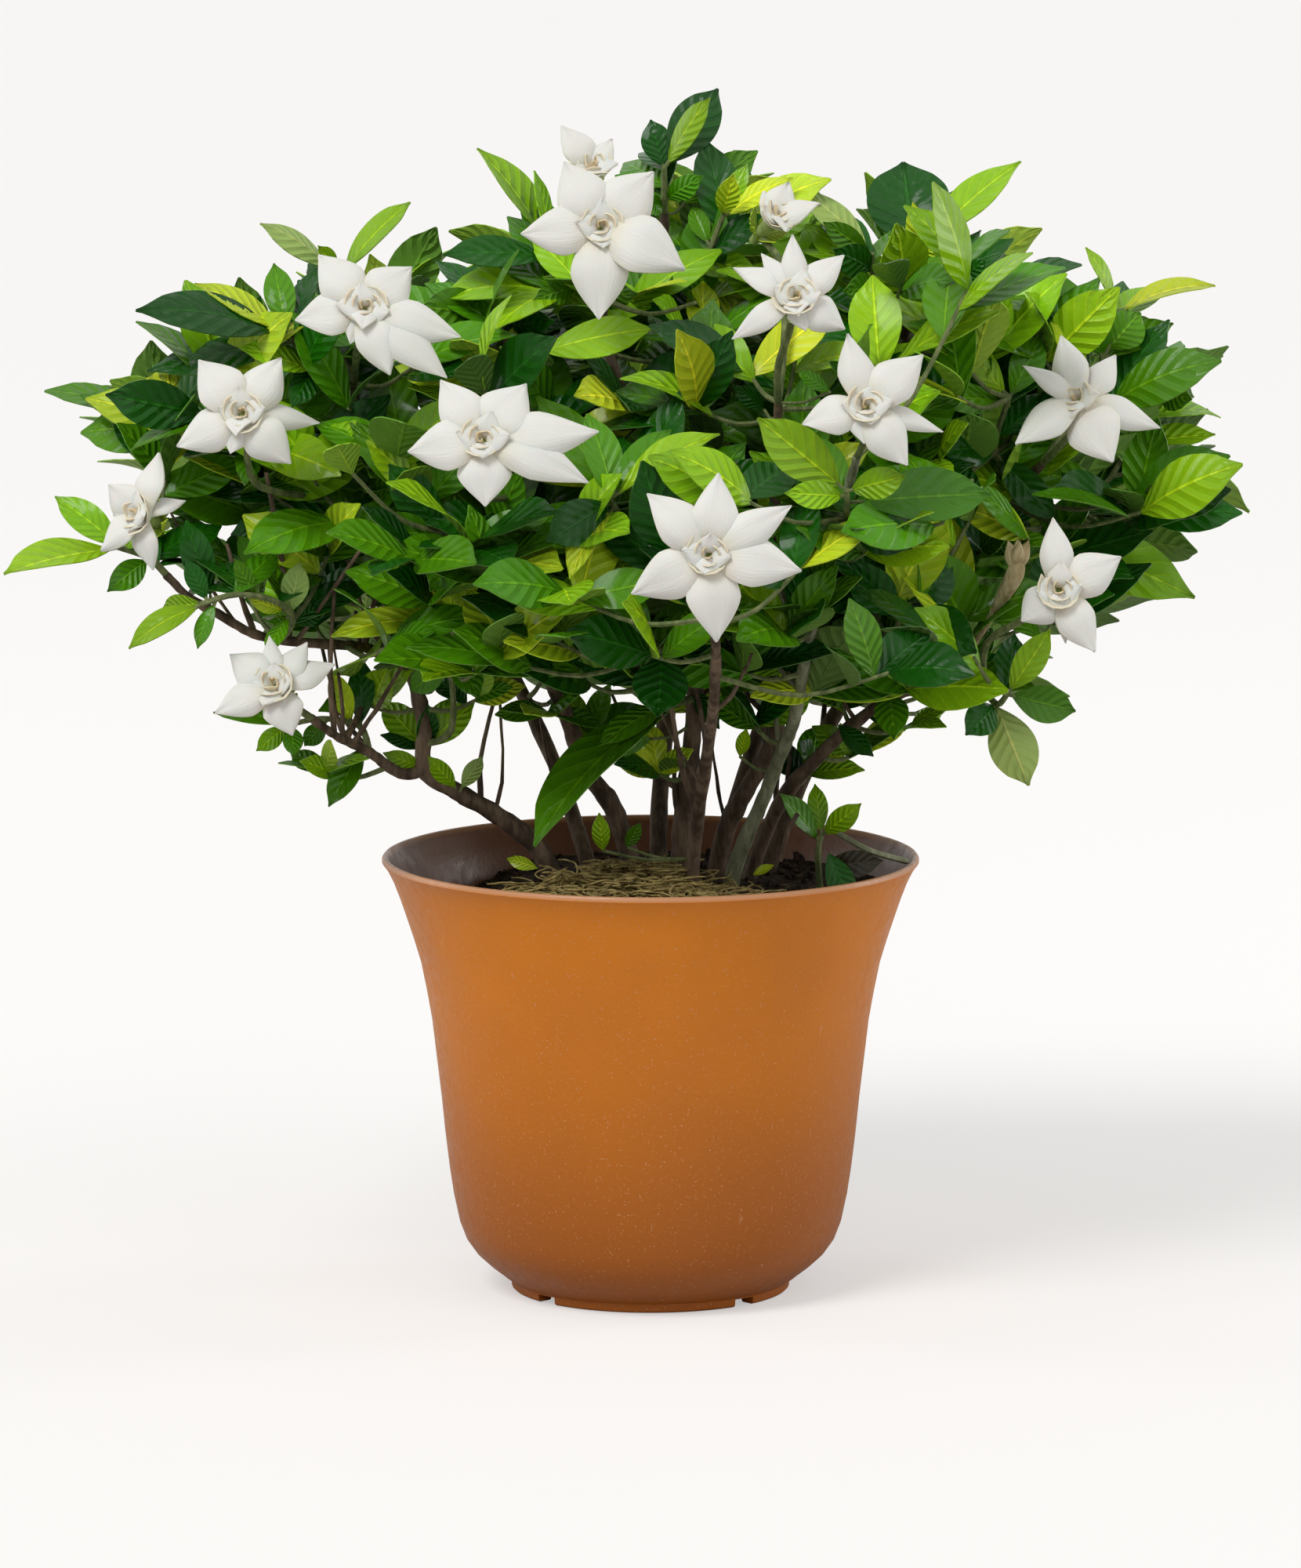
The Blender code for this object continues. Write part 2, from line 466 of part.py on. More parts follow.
def pot():
    """A turned shell with a flared rim, a foot ring with notches, and drain holes."""
    inner = [(POT_FLOOR, 0.0), (POT_FLOOR, 41.5)]
    for height in POT_INNER_HEIGHTS:
        inner.append((height, outer_radius(height) - POT_WALL))
    outer = list(POT_PROFILE) + [(0.0, FOOT_RADIUS), (0.0, FOOT_INNER_RADIUS), (FOOT_HEIGHT, FOOT_INNER_RADIUS),
                                 (FOOT_HEIGHT, 0.0)]
    rim = [(POT_PROFILE[0][0] + 0.6, POT_PROFILE[0][1] - 1.0)]
    bm = bmesh.new()
    profile = inner + [(POT_PROFILE[0][0], POT_PROFILE[0][1] - POT_WALL)] + rim + outer
    verts = [bm.verts.new((radius, 0, height)) for height, radius in profile]
    edges = [bm.edges.new(pair) for pair in zip(verts, verts[1:])]
    bmesh.ops.spin(bm, geom=verts + edges, cent=(0, 0, 0), axis=(0, 0, 1), angle=2 * math.pi,
                   steps=POT_STEPS, use_merge=True)
    bmesh.ops.remove_doubles(bm, verts=bm.verts, dist=0.001)
    bmesh.ops.recalc_face_normals(bm, faces=bm.faces)
    made = object_from(bm, "pot", "pot", parts)
    cutters = []
    for i in range(FOOT_NOTCHES):
        turn = FOOT_NOTCH_TURN + i * 2 * math.pi / FOOT_NOTCHES
        cut = bmesh.new()
        bmesh.ops.create_cube(cut, size=1)
        bmesh.ops.scale(cut, vec=(12, FOOT_NOTCH_WIDTH, 2 * FOOT_HEIGHT - 0.6), verts=cut.verts)
        bmesh.ops.translate(cut, vec=(FOOT_RADIUS - 1, 0, 0), verts=cut.verts)
        bmesh.ops.rotate(cut, cent=(0, 0, 0), verts=cut.verts, matrix=Matrix.Rotation(turn, 3, "Z"))
        cutters.append(object_from(cut, f"foot_notch_{i + 1}", "pot", helpers))
    for i in range(DRAIN_HOLES):
        turn = i * 2 * math.pi / DRAIN_HOLES
        cut = bmesh.new()
        bmesh.ops.create_cone(cut, cap_ends=True, segments=12, radius1=DRAIN_RADIUS, radius2=DRAIN_RADIUS,
                              depth=3 * POT_FLOOR)
        bmesh.ops.translate(cut, vec=(DRAIN_RING * math.cos(turn), DRAIN_RING * math.sin(turn), POT_FLOOR / 2),
                            verts=cut.verts)
        cutters.append(object_from(cut, f"drain_hole_{i + 1}", "pot", helpers))
    combine(made, cutters, "DIFFERENCE")
    made.data.shade_smooth()
    place(made)


def mix_height(x, y):
    dip = min(1, max(0, (MIX_DIP_FROM - x) / (MIX_DIP_FROM - MIX_DIP_TO)))
    heap = 1.8 * math.exp(-((x - 14) ** 2 + (y - 8) ** 2) / 900)
    return MIX_LEVEL - MIX_DIP * dip * dip * (3 - 2 * dip) + heap


def wall_inside(height):
    """The pot's inner radius at a height."""
    return outer_radius(height) - POT_WALL


def potting_mix():
    """The body of mix that fills the pot, with a socket for each stem."""
    bm = bmesh.new()
    rows = [(POT_FLOOR + 0.4, 37.5)] + [(height, wall_inside(height) - 1.0) for height in (11.0, 20.0, 57.0, 97.0)]
    rings = []
    for height, radius in rows:
        ring = []
        for i in range(MIX_SECTORS):
            turn = 2 * math.pi * i / MIX_SECTORS
            ring.append(bm.verts.new((radius * math.cos(turn), radius * math.sin(turn), height)))
        rings.append(ring)
    for step in range(MIX_RINGS, 0, -1):
        ring = []
        for i in range(MIX_SECTORS):
            turn = 2 * math.pi * i / MIX_SECTORS
            share = step / MIX_RINGS
            reach = (wall_inside(mix_height(64 * math.cos(turn), 64 * math.sin(turn))) - 1.2) * share
            x, y = reach * math.cos(turn), reach * math.sin(turn)
            ring.append(bm.verts.new((x, y, mix_height(x, y))))
        rings.append(ring)
    for lower, upper in zip(rings, rings[1:]):
        for i in range(MIX_SECTORS):
            j = (i + 1) % MIX_SECTORS
            bm.faces.new((lower[i], lower[j], upper[j], upper[i]))
    bm.faces.new(rings[0][::-1])
    bm.faces.new(rings[-1])
    bmesh.ops.recalc_face_normals(bm, faces=bm.faces)
    made = object_from(bm, "potting_mix", "mix", parts)
    sockets = []
    for name, (foot, above, radius) in stem_feet.items():
        way = (above - foot).normalized()
        wide = SOCKET_EASE * (radius + SOCKET_CLEARANCE)
        sockets.append(tube([foot - way * SOCKET_CLEARANCE, above], [wide, wide], name + "_socket", "mix",
                            helpers))
    combine(made, sockets, "DIFFERENCE")
    place(made)


def mulch():
    """A low crescent of fibre on the mix, inside the front wall."""
    bm = bmesh.new()
    bmesh.ops.create_grid(bm, x_segments=12, y_segments=2, size=0.5)
    top = {}
    for vert in bm.verts:
        u, v = vert.co.x + 0.5, vert.co.y + 0.5
        turn = MULCH_ARC[0] + (MULCH_ARC[1] - MULCH_ARC[0]) * u
        reach = MULCH_RADIUS[0] + (MULCH_RADIUS[1] - MULCH_RADIUS[0]) * v
        x, y = reach * math.cos(turn), reach * math.sin(turn)
        ends = math.sin(math.pi * min(1, max(0, u)))
        base = max(mix_height(x * s, y * s) for s in (0.9, 1.0, 1.1)) + 0.6
        vert.co = (x, y, base)
        top[vert] = 2.0 + (MULCH_HEIGHT - 2.0) * ends * (0.55 + 0.45 * math.sin(math.pi * (0.25 + 0.6 * v)))
    raised = bmesh.ops.extrude_face_region(bm, geom=bm.faces[:])
    for item in raised["geom"]:
        if isinstance(item, bmesh.types.BMVert):
            below = min(top, key=lambda vert: (vert.co - item.co).length)
            item.co.z += top[below]
    bmesh.ops.recalc_face_normals(bm, faces=bm.faces)
    place(object_from(bm, "mulch", "mulch", parts))


def stems():
    for name, (thick, thin, points) in STEMS.items():
        line = smooth_line([seen(point) for point in points], 1)
        count = len(line) - 1
        radii = [thick + (thin - thick) * i / count for i in range(count + 1)]
        stem_lines[name] = smooth_line([seen(point) for point in points], 5)
        stem_feet[name] = (line[0], line[1], thick)
        place(tube(line, radii, name, "bark", parts, sides=2))


def branches():
    for name, (parent, thick, thin, points) in BRANCHES.items():
        way = [seen(point) for point in points]
        foot = seat(parent, way[0], thick)
        line = [foot] + way
        count = len(line) - 1
        radii = [thick + (thin - thick) * i / count for i in range(count + 1)]
        stem_lines[name] = smooth_line(line, 5)
        place(tube(line, radii, name, "bark", parts, sides=2))


def bloom(name, parent, way, heart, facing, petals):
    """A flower: pedicel and tube, a coiled heart, and its petals."""
    centre = seen(heart)
    front = Vector(facing).normalized()
    back = centre - front * BLOOM_TUBE_LENGTH
    route = [seen(point) for point in way] + [back]
    foot = seat(parent, route[0], BLOOM_TUBE_RADIUS)
    line = [foot] + route + [centre + front * 2.5]
    radii = [BLOOM_TUBE_RADIUS] * (len(line) - 1) + [BLOOM_THROAT_RADIUS]
    body = tube(line, radii, name, "petal", parts)
    pieces = []
    for number, (x, z, depth, width) in enumerate(petals):
        tip = seen((x, z, heart[2] + depth))
        normal = (front - (tip - centre).normalized() * front.dot((tip - centre).normalized())).normalized()
        bm = sheet(centre - front * 0.8, tip, width, 1.6, normal, PETAL_THICKNESS, petal_shape)
        pieces.append(object_from(bm, f"{name}_petal_{number + 1}", "petal", helpers))
    combine(body, pieces, "UNION")
    place(body)


def faded_bud():
    parent, way = FADED_BUD
    route = [seen(point) for point in way]
    line = [seat(parent, route[0], 1.2)] + route
    place(tube(line, [1.2, 1.2, 2.6, 3.4, 1.4], "faded_bud", "petal", parts, sides=2))


def leaf(foot, tip, width, placed_name):
    """A leaf's bmesh that crosses nothing placed, or None; it may be turned or shortened a little."""
    for shorten, lift, swing in ((1, 0, 0), (1, 3, 0), (1, -3, 0), (0.94, 0, 4), (0.94, 0, -4), (0.9, 5, 5),
                                 (0.9, -5, -5), (0.85, 8, -8), (0.85, -8, 8), (0.8, 0, 12), (0.8, 0, -12)):
        end = foot.lerp(tip, shorten) + Vector((0, swing, lift))
        normal, full = leaf_normal(foot, end, width)
        bow = 0.06 * (end - foot).length
        thick = sheet(foot, end, full + 2 * GAP, bow, normal, LEAF_THICKNESS + 2 * GAP, leaf_shape)
        bmesh.ops.translate(thick, verts=thick.verts, vec=normal * GAP)
        fits = clear_of(thick, skip=(placed_name,))
        thick.free()
        if fits:
            return sheet(foot, end, full, bow, normal, LEAF_THICKNESS, leaf_shape)
    return None


def shoot(name, parent, way, leaves):
    """A twig and the leaves that grow from it, as one body."""
    route = [seen(point) for point in way]
    if parent is not None:
        route = [seat(parent, route[0], TWIG_RADIUS)] + route
    else:
        stem_feet[name] = (route[0], route[1], TWIG_RADIUS)
    count = len(route) - 1
    radii = [TWIG_RADIUS * (1.1 - 0.3 * i / count) for i in range(count + 1)]
    body = tube(route, radii, name, "leaf", parts, sides=0)
    pieces = []
    for number, (share, x, z, depth, width) in enumerate(leaves):
        foot = along(route, min(share, 0.985))
        tip = seen((x, z, foot.y / CROWN_DEPTH + depth))
        bm = leaf(foot, tip, width, name)
        if bm is None:
            print("no room for leaf", number + 1, "of", name)
            continue
        pieces.append(object_from(bm, f"{name}_leaf_{number + 1}", "leaf", helpers))
    combine(body, pieces, "UNION")
    place(body)


def fallen_leaf():
    foot, tip, width = FALLEN_LEAF
    bm = leaf(seen(foot), seen(tip), width, "")
    place(object_from(bm, "fallen_leaf", "leaf", parts))


def main():
    global parts, helpers
    for old in list(bpy.data.objects):
        bpy.data.objects.remove(old)
    parts = bpy.data.collections.new("potted_gardenia")
    helpers = bpy.data.collections.new("cutters")
    for group in (parts, helpers):
        bpy.context.scene.collection.children.link(group)
    stems()
    branches()
    pot_parent, pot_way, pot_leaves = SHOOTS["pot_shoot"]
    shoot("pot_shoot", pot_parent, pot_way, pot_leaves)
    pot()
    potting_mix()
    mulch()
    for name, (parent, way, heart, facing, petals) in BLOOMS.items():
        bloom(name, parent, way, heart, facing, petals)
    faded_bud()
    for name, (parent, way, leaves) in SHOOTS.items():
        if name != "pot_shoot":
            shoot(name, parent, way, leaves)
    fallen_leaf()


main()
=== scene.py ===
# Potted gardenia, laid out from the front in millimetres as (x, z, depth) and built in metres.
import math
import random

import bpy
from mathutils import Matrix, Vector, noise
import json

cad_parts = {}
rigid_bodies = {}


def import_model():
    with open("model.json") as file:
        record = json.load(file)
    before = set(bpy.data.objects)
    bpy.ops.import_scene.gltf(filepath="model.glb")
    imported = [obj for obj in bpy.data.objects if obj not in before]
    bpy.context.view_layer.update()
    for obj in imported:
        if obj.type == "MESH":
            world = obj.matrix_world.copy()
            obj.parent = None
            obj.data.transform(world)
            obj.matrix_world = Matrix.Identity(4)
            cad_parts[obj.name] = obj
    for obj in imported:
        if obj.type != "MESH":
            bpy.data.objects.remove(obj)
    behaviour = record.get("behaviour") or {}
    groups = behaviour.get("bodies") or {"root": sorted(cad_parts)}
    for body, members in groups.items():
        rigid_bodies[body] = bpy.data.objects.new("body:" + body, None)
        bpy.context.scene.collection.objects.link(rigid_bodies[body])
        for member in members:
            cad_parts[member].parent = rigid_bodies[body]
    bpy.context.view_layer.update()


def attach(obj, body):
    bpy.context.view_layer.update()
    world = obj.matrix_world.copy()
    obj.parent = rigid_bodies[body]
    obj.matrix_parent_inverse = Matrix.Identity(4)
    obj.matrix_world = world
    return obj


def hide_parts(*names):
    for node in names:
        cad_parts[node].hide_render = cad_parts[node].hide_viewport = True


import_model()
mm = 0.001
noise.seed_set(7)  # the bark's noise vectors differ from run to run without it

viewSettings = {"distance": 2.6, "pitch": 8.5, "targetHeight": 0.149, "lens": 204.5, "sensor": 36.0}
layout = {"eyeDistance": 2600.0, "eyeHeight": 180.0, "crownDepth": 1.2}
wholeTurn = 6.28  # for a random heading, in radians


def seen(point):
    # where a point laid out as it looks from the front, (x, z, depth), is in space
    x, z, depth = point
    depth *= layout["crownDepth"]
    near = 1 + depth / layout["eyeDistance"]
    eye = layout["eyeHeight"]
    drop = depth * math.tan(math.radians(viewSettings["pitch"]))
    return Vector((x * near, depth, eye + (z - eye) * near - drop))


def smoothLine(points, steps):
    line = []
    for i in range(len(points) - 1):
        before, a, b = points[max(i - 1, 0)], points[i], points[i + 1]
        after = points[min(i + 2, len(points) - 1)]
        for s in range(steps):
            t = s / steps
            line.append(0.5 * (2 * a + (b - before) * t + (2 * before - 5 * a + 4 * b - after) * t * t
                               + (3 * a - before - 3 * b + after) * t ** 3))
    return line + [points[-1]]


def along(line, share):
    lengths = [(b - a).length for a, b in zip(line, line[1:])]
    left = share * sum(lengths)
    for a, b, length in zip(line, line[1:], lengths):
        if left <= length:
            return a.lerp(b, left / length)
        left -= length
    return line[-1].copy()


def nearestOn(line, point):
    return min(line[2:], key=lambda place: (place - point).length)


def deselectAll():
    if bpy.context.object and bpy.context.object.mode != "OBJECT":
        bpy.ops.object.mode_set(mode="OBJECT")
    bpy.ops.object.select_all(action="DESELECT")


def selectOnly(piece):
    deselectAll()
    piece.select_set(True)
    bpy.context.view_layer.objects.active = piece


def applyPlace(piece):
    selectOnly(piece)
    bpy.ops.object.transform_apply(location=True, rotation=True, scale=True)


def joinAll(pieces, name):
    deselectAll()
    for piece in pieces:
        piece.select_set(True)
    bpy.context.view_layer.objects.active = pieces[0]
    if len(pieces) > 1:
        bpy.ops.object.join()
    pieces[0].name = name
    return pieces[0]


def camelName(node):
    words = node.split("_")
    return words[0] + "".join(word.capitalize() for word in words[1:])


def standFor(piece, node):
    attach(piece, "root")
    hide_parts(node)


def setTone(piece, colour, under):
    # the leaf's own green, with 1 in alpha on its underside
    layer = piece.data.attributes.new("tone", "FLOAT_COLOR", "POINT")
    values = []
    for share in under:
        values.extend((*colour, share))
    layer.data.foreach_set("color", values)


def tubes(ways, name, finish, sides=2):
    # each way: (points in mm, radii in mm)
    data = bpy.data.curves.new(name, "CURVE")
    data.dimensions = "3D"
    data.bevel_depth = mm
    data.bevel_resolution = sides
    data.use_fill_caps = True
    for points, radii in ways:
        spline = data.splines.new("POLY")
        spline.points.add(len(points) - 1)
        for knot, place, radius in zip(spline.points, points, radii):
            knot.co = (*(place * mm), 1)
            knot.radius = radius
    piece = bpy.data.objects.new(name, data)
    bpy.context.scene.collection.objects.link(piece)
    selectOnly(piece)
    bpy.ops.object.convert(target="MESH")
    piece = bpy.context.object
    bpy.ops.object.mode_set(mode="EDIT")
    bpy.ops.mesh.select_all(action="SELECT")
    bpy.ops.mesh.remove_doubles(threshold=1e-6)
    bpy.ops.mesh.normals_make_consistent(inside=False)
    bpy.ops.object.mode_set(mode="OBJECT")
    bpy.ops.object.shade_smooth_by_angle(angle=math.radians(50))
    piece.data.materials.clear()
    piece.data.materials.append(finish)
    return piece


def startFinish(name, roughness, specular=0.5):
    made = bpy.data.materials.new(name)
    made.use_nodes = True
    shader = made.node_tree.nodes["Principled BSDF"]
    shader.inputs["Roughness"].default_value = roughness
    shader.inputs["Specular IOR Level"].default_value = specular
    return made, made.node_tree, shader


def put(tree, kind, settings=None, values=None):
    node = tree.nodes.new(kind)
    for key, value in (settings or {}).items():
        setattr(node, key, value)
    for key, value in (values or {}).items():
        if hasattr(value, "is_output"):
            tree.links.new(value, node.inputs[key])
        else:
            node.inputs[key].default_value = value
    return node


def maths(tree, operation, first, second=0.0, third=0.0):
    node = put(tree, "ShaderNodeMath", {"operation": operation}, {0: first, 1: second, 2: third})
    return node.outputs[0]


def ramp(tree, value, low, high, toLow=0.0, toHigh=1.0):
    node = put(tree, "ShaderNodeMapRange", {"interpolation_type": "SMOOTHSTEP"},
               {0: value, 1: low, 2: high, 3: toLow, 4: toHigh})
    return node.outputs[0]


def blendColour(tree, share, first, second, mode="MIX"):
    node = put(tree, "ShaderNodeMix", {"data_type": "RGBA", "blend_type": mode},
               {0: share, 6: first, 7: second})
    return node.outputs[2]


def noiseOf(tree, scale, detail=3.0, roughness=0.5, stretch=None):
    place = put(tree, "ShaderNodeTexCoord").outputs["Object"]
    if stretch:
        place = put(tree, "ShaderNodeMapping", None, {0: place, 3: stretch}).outputs[0]
    return put(tree, "ShaderNodeTexNoise", None,
               {"Vector": place, "Scale": scale, "Detail": detail, "Roughness": roughness}).outputs[0]


def bumpInto(tree, shader, height, strength, distance):
    bump = put(tree, "ShaderNodeBump", None,
               {"Strength": strength, "Distance": distance, "Height": height})
    tree.links.new(bump.outputs[0], shader.inputs["Normal"])


def rgba(r, g, b):
    return (r, g, b, 1.0)


leafLook = {"veinPairs": 7.0, "veinSweep": 1.7, "veinRise": 0.0011, "roughness": (0.22, 0.42),
            "warm": rgba(1.5, 1.35, 0.9), "rib": rgba(2.2, 1.7, 2.0), "back": rgba(0.26, 0.40, 0.10)}
petalLook = {"ribStretch": (1.5, 14.0, 1.0), "ribRise": 0.0006, "shade": rgba(0.70, 0.67, 0.60)}


def sheetPlace(tree):
    # the UV map, u from foot to tip, and side from 0 on the midline to 1 at the edge
    uv = put(tree, "ShaderNodeUVMap", {"uv_map": "UVMap"}).outputs[0]
    parted = put(tree, "ShaderNodeSeparateXYZ", None, {0: uv})
    side = maths(tree, "ABSOLUTE", maths(tree, "MULTIPLY_ADD", parted.outputs[1], 2.0, -1.0))
    return uv, parted.outputs[0], side


def leafFinish():
    look = leafLook
    made, tree, shader = startFinish("glossyLeaf", look["roughness"][0], 0.16)
    shader.inputs["Coat Weight"].default_value = 0.22
    shader.inputs["Coat Roughness"].default_value = 0.12
    tone = put(tree, "ShaderNodeAttribute", {"attribute_name": "tone"})
    green, under = tone.outputs["Color"], tone.outputs["Alpha"]
    uv, u, side = sheetPlace(tree)
    sweep = maths(tree, "MULTIPLY", side, -look["veinSweep"])
    fold = maths(tree, "PINGPONG", maths(tree, "MULTIPLY_ADD", u, look["veinPairs"], sweep), 0.5)
    vein = ramp(tree, fold, 0.02, 0.12, 1.0, 0.0)
    midrib = ramp(tree, side, 0.03, 0.09, 1.0, 0.0)
    ribs = maths(tree, "MAXIMUM", maths(tree, "MULTIPLY", vein, 0.4), midrib)
    patches = ramp(tree, noiseOf(tree, 90.0, 4.0), 0.3, 0.7, 0.0, 0.35)
    body = blendColour(tree, patches, green, blendColour(tree, 1.0, green, look["warm"], "MULTIPLY"))
    ribColour = blendColour(tree, 1.0, body, look["rib"], "MULTIPLY")
    ribbed = blendColour(tree, maths(tree, "MULTIPLY", ribs, 0.8), body, ribColour)
    pale = blendColour(tree, 0.40, ribbed, look["back"])
    tree.links.new(blendColour(tree, under, ribbed, pale), shader.inputs["Base Color"])
    quilt = maths(tree, "SUBTRACT", maths(tree, "POWER", maths(tree, "MULTIPLY", fold, 2.0), 0.6),
                  maths(tree, "MULTIPLY", midrib, 0.8))
    grain = maths(tree, "MULTIPLY_ADD", noiseOf(tree, 700.0, 2.0), 0.25, quilt)
    bumpInto(tree, shader, grain, 0.6, look["veinRise"])
    face = ramp(tree, noiseOf(tree, 160.0), 0.3, 0.7, *look["roughness"])
    tree.links.new(maths(tree, "MULTIPLY_ADD", under, 0.25, face), shader.inputs["Roughness"])
    return made


def petalFinish(name, base, deep):
    look = petalLook
    made, tree, shader = startFinish(name, 0.55, 0.3)
    uv, u, side = sheetPlace(tree)
    drawn = put(tree, "ShaderNodeMapping", None, {0: uv, 3: look["ribStretch"]}).outputs[0]
    rib = put(tree, "ShaderNodeTexNoise", None, {"Vector": drawn, "Scale": 2.0, "Detail": 3.0}).outputs[0]
    colour = blendColour(tree, ramp(tree, u, 0.0, 0.45, 1.0, 0.0), base, deep)
    colour = blendColour(tree, ramp(tree, side, 0.8, 1.0, 0.0, 0.35), colour, deep)
    clouds = ramp(tree, noiseOf(tree, 60.0), 0.35, 0.75, 0.0, 0.2)
    tree.links.new(blendColour(tree, clouds, colour, look["shade"]), shader.inputs["Base Color"])
    shader.inputs["Subsurface Weight"].default_value = 0.15
    shader.inputs["Subsurface Scale"].default_value = 0.002
    bumpInto(tree, shader, rib, 0.35, look["ribRise"])
    return made


def barkFinish(name, dark, light, scale=260.0):
    made, tree, shader = startFinish(name, 0.8, 0.3)
    streaks = noiseOf(tree, scale, 5.0, 0.65, (1.0, 1.0, 0.25))
    colour = blendColour(tree, ramp(tree, streaks, 0.35, 0.7), dark, light)
    tree.links.new(colour, shader.inputs["Base Color"])
    bumpInto(tree, shader, streaks, 0.8, 0.0008)
    return made


# heights in metres: painted shade darkens the colour towards the foot over "fade", and the lip turns paler
# from "edge"
potLook = {"top": rgba(0.68, 0.205, 0.008), "foot": rgba(0.36, 0.098, 0.006), "fade": (0.01, 0.115),
           "lip": rgba(0.45, 0.25, 0.15), "edge": 0.1262, "edgeFull": 0.1274, "rim": 0.128,
           "speck": rgba(0.60, 0.34, 0.18), "cloud": rgba(0.34, 0.10, 0.022),
           # "inside" is painted shade, the dark colour of the pot's inner wall in shadow
           "inside": rgba(0.13, 0.065, 0.05), "roughness": (0.3, 0.44)}


def potFinish():
    look = potLook
    made, tree, shader = startFinish("satinPotPlastic", look["roughness"][0], 0.35)
    place = put(tree, "ShaderNodeTexCoord").outputs["Object"]
    height = put(tree, "ShaderNodeSeparateXYZ", None, {0: place}).outputs[2]
    # painted shade: the pot's colour darkens from "top" towards "foot", where less light reaches the lower
    # wall
    colour = blendColour(tree, ramp(tree, height, *look["fade"]), look["foot"], look["top"])
    clouds = ramp(tree, noiseOf(tree, 22.0, 4.0), 0.3, 0.7, 0.0, 0.22)
    colour = blendColour(tree, clouds, colour, look["cloud"])
    specks = ramp(tree, noiseOf(tree, 1500.0, 1.0), 0.66, 0.74, 0.0, 0.5)
    colour = blendColour(tree, specks, colour, look["speck"])
    scratches = ramp(tree, noiseOf(tree, 700.0, 2.0, 0.4, (1.0, 1.0, 0.12)), 0.74, 0.78, 0.0, 0.3)
    colour = blendColour(tree, scratches, colour, look["speck"])
    # the lip's top is painted paler from "edge" upwards
    paleLip = ramp(tree, height, look["edge"], look["edgeFull"], 0.0, 0.75)
    colour = blendColour(tree, paleLip, colour, look["lip"])
    # painted shade: faces that look towards the pot's axis, below the rim, take the dark "inside" colour,
    # shade painted on the pot's inner wall
    normal = put(tree, "ShaderNodeNewGeometry").outputs["Normal"]
    flat = put(tree, "ShaderNodeVectorMath", {"operation": "MULTIPLY"}, {0: place, 1: (1.0, 1.0, 0.0)})
    facing = put(tree, "ShaderNodeVectorMath", {"operation": "DOT_PRODUCT"}, {0: normal, 1: flat.outputs[0]})
    inward = ramp(tree, facing.outputs["Value"], -0.03, -0.01, 1.0, 0.0)
    inside = maths(tree, "MULTIPLY", inward, ramp(tree, height, look["rim"], look["edge"]))
    colour = blendColour(tree, maths(tree, "MULTIPLY", inside, 0.85), colour, look["inside"])
    tree.links.new(colour, shader.inputs["Base Color"])
    gloss = ramp(tree, noiseOf(tree, 300.0), 0.3, 0.7, *look["roughness"])
    tree.links.new(gloss, shader.inputs["Roughness"])
    bumpInto(tree, shader, noiseOf(tree, 900.0, 2.0), 0.25, 0.0003)
    return made


def crumbFinish(name, dark, light, scale):
    made, tree, shader = startFinish(name, 0.95, 0.15)
    crumbs = noiseOf(tree, scale, 6.0, 0.7)
    tree.links.new(blendColour(tree, ramp(tree, crumbs, 0.4, 0.72), dark, light), shader.inputs["Base Color"])
    bumpInto(tree, shader, crumbs, 1.0, 0.0015)
    return made


leafMat = leafFinish()
petalMat = petalFinish("warmWhitePetal", rgba(0.76, 0.74, 0.70), rgba(0.74, 0.68, 0.52))
heartMat = petalFinish("creamHeart", rgba(0.78, 0.72, 0.58), rgba(0.72, 0.58, 0.34))
barkMat = barkFinish("darkBark", rgba(0.055, 0.035, 0.022), rgba(0.20, 0.14, 0.09))
greyBarkMat = barkFinish("greyGreenBark", rgba(0.11, 0.12, 0.06), rgba(0.30, 0.31, 0.20))
twigMat = barkFinish("greenTwig", rgba(0.09, 0.12, 0.04), rgba(0.22, 0.25, 0.10), 400.0)
calyxMat = barkFinish("greenCalyx", rgba(0.20, 0.30, 0.07), rgba(0.42, 0.48, 0.18), 300.0)
witherMat = barkFinish("witheredPetal", rgba(0.30, 0.22, 0.10), rgba(0.60, 0.50, 0.30), 300.0)
fibreMat = barkFinish("mulchFibre", rgba(0.16, 0.115, 0.035), rgba(0.46, 0.35, 0.13), 350.0)
potMat = potFinish()
soilMat = crumbFinish("pottingCrumbs", rgba(0.018, 0.012, 0.009), rgba(0.10, 0.065, 0.045), 350.0)
clodMat = crumbFinish("barkChip", rgba(0.05, 0.03, 0.02), rgba(0.24, 0.15, 0.09), 300.0)
print("finishes ready")


# a sun: (way it shines, strength, angle); a strip: (place, power)
stageSettings = {
    "suns": {"keySun": ((0.42, 0.62, -0.80), 1.75, 24), "fillSun": ((-0.5, 0.7, -0.5), 0.5, 60)},
    "strips": {"leftStrip": ((-1.6, 0.5, 0.5), 5.0), "rightStrip": ((1.6, 0.5, 0.5), 7.0)},
    "stripAim": (0, 0, 0.12), "stripSize": (0.5, 1.0), "floor": rgba(0.50, 0.485, 0.475), "floorGlow": 0.455,
    "floorSize": 60, "floorDrop": 0.0002, "white": rgba(1.0, 0.995, 0.985), "worldLight": (0.48, 0.95),
}


def addLamp(kind, name, place, way, energy):
    bpy.ops.object.light_add(type=kind, location=place)
    lamp = bpy.context.object
    lamp.name = name
    lamp.rotation_euler = way.to_track_quat("-Z", "Y").to_euler()
    lamp.data.energy = energy
    return lamp


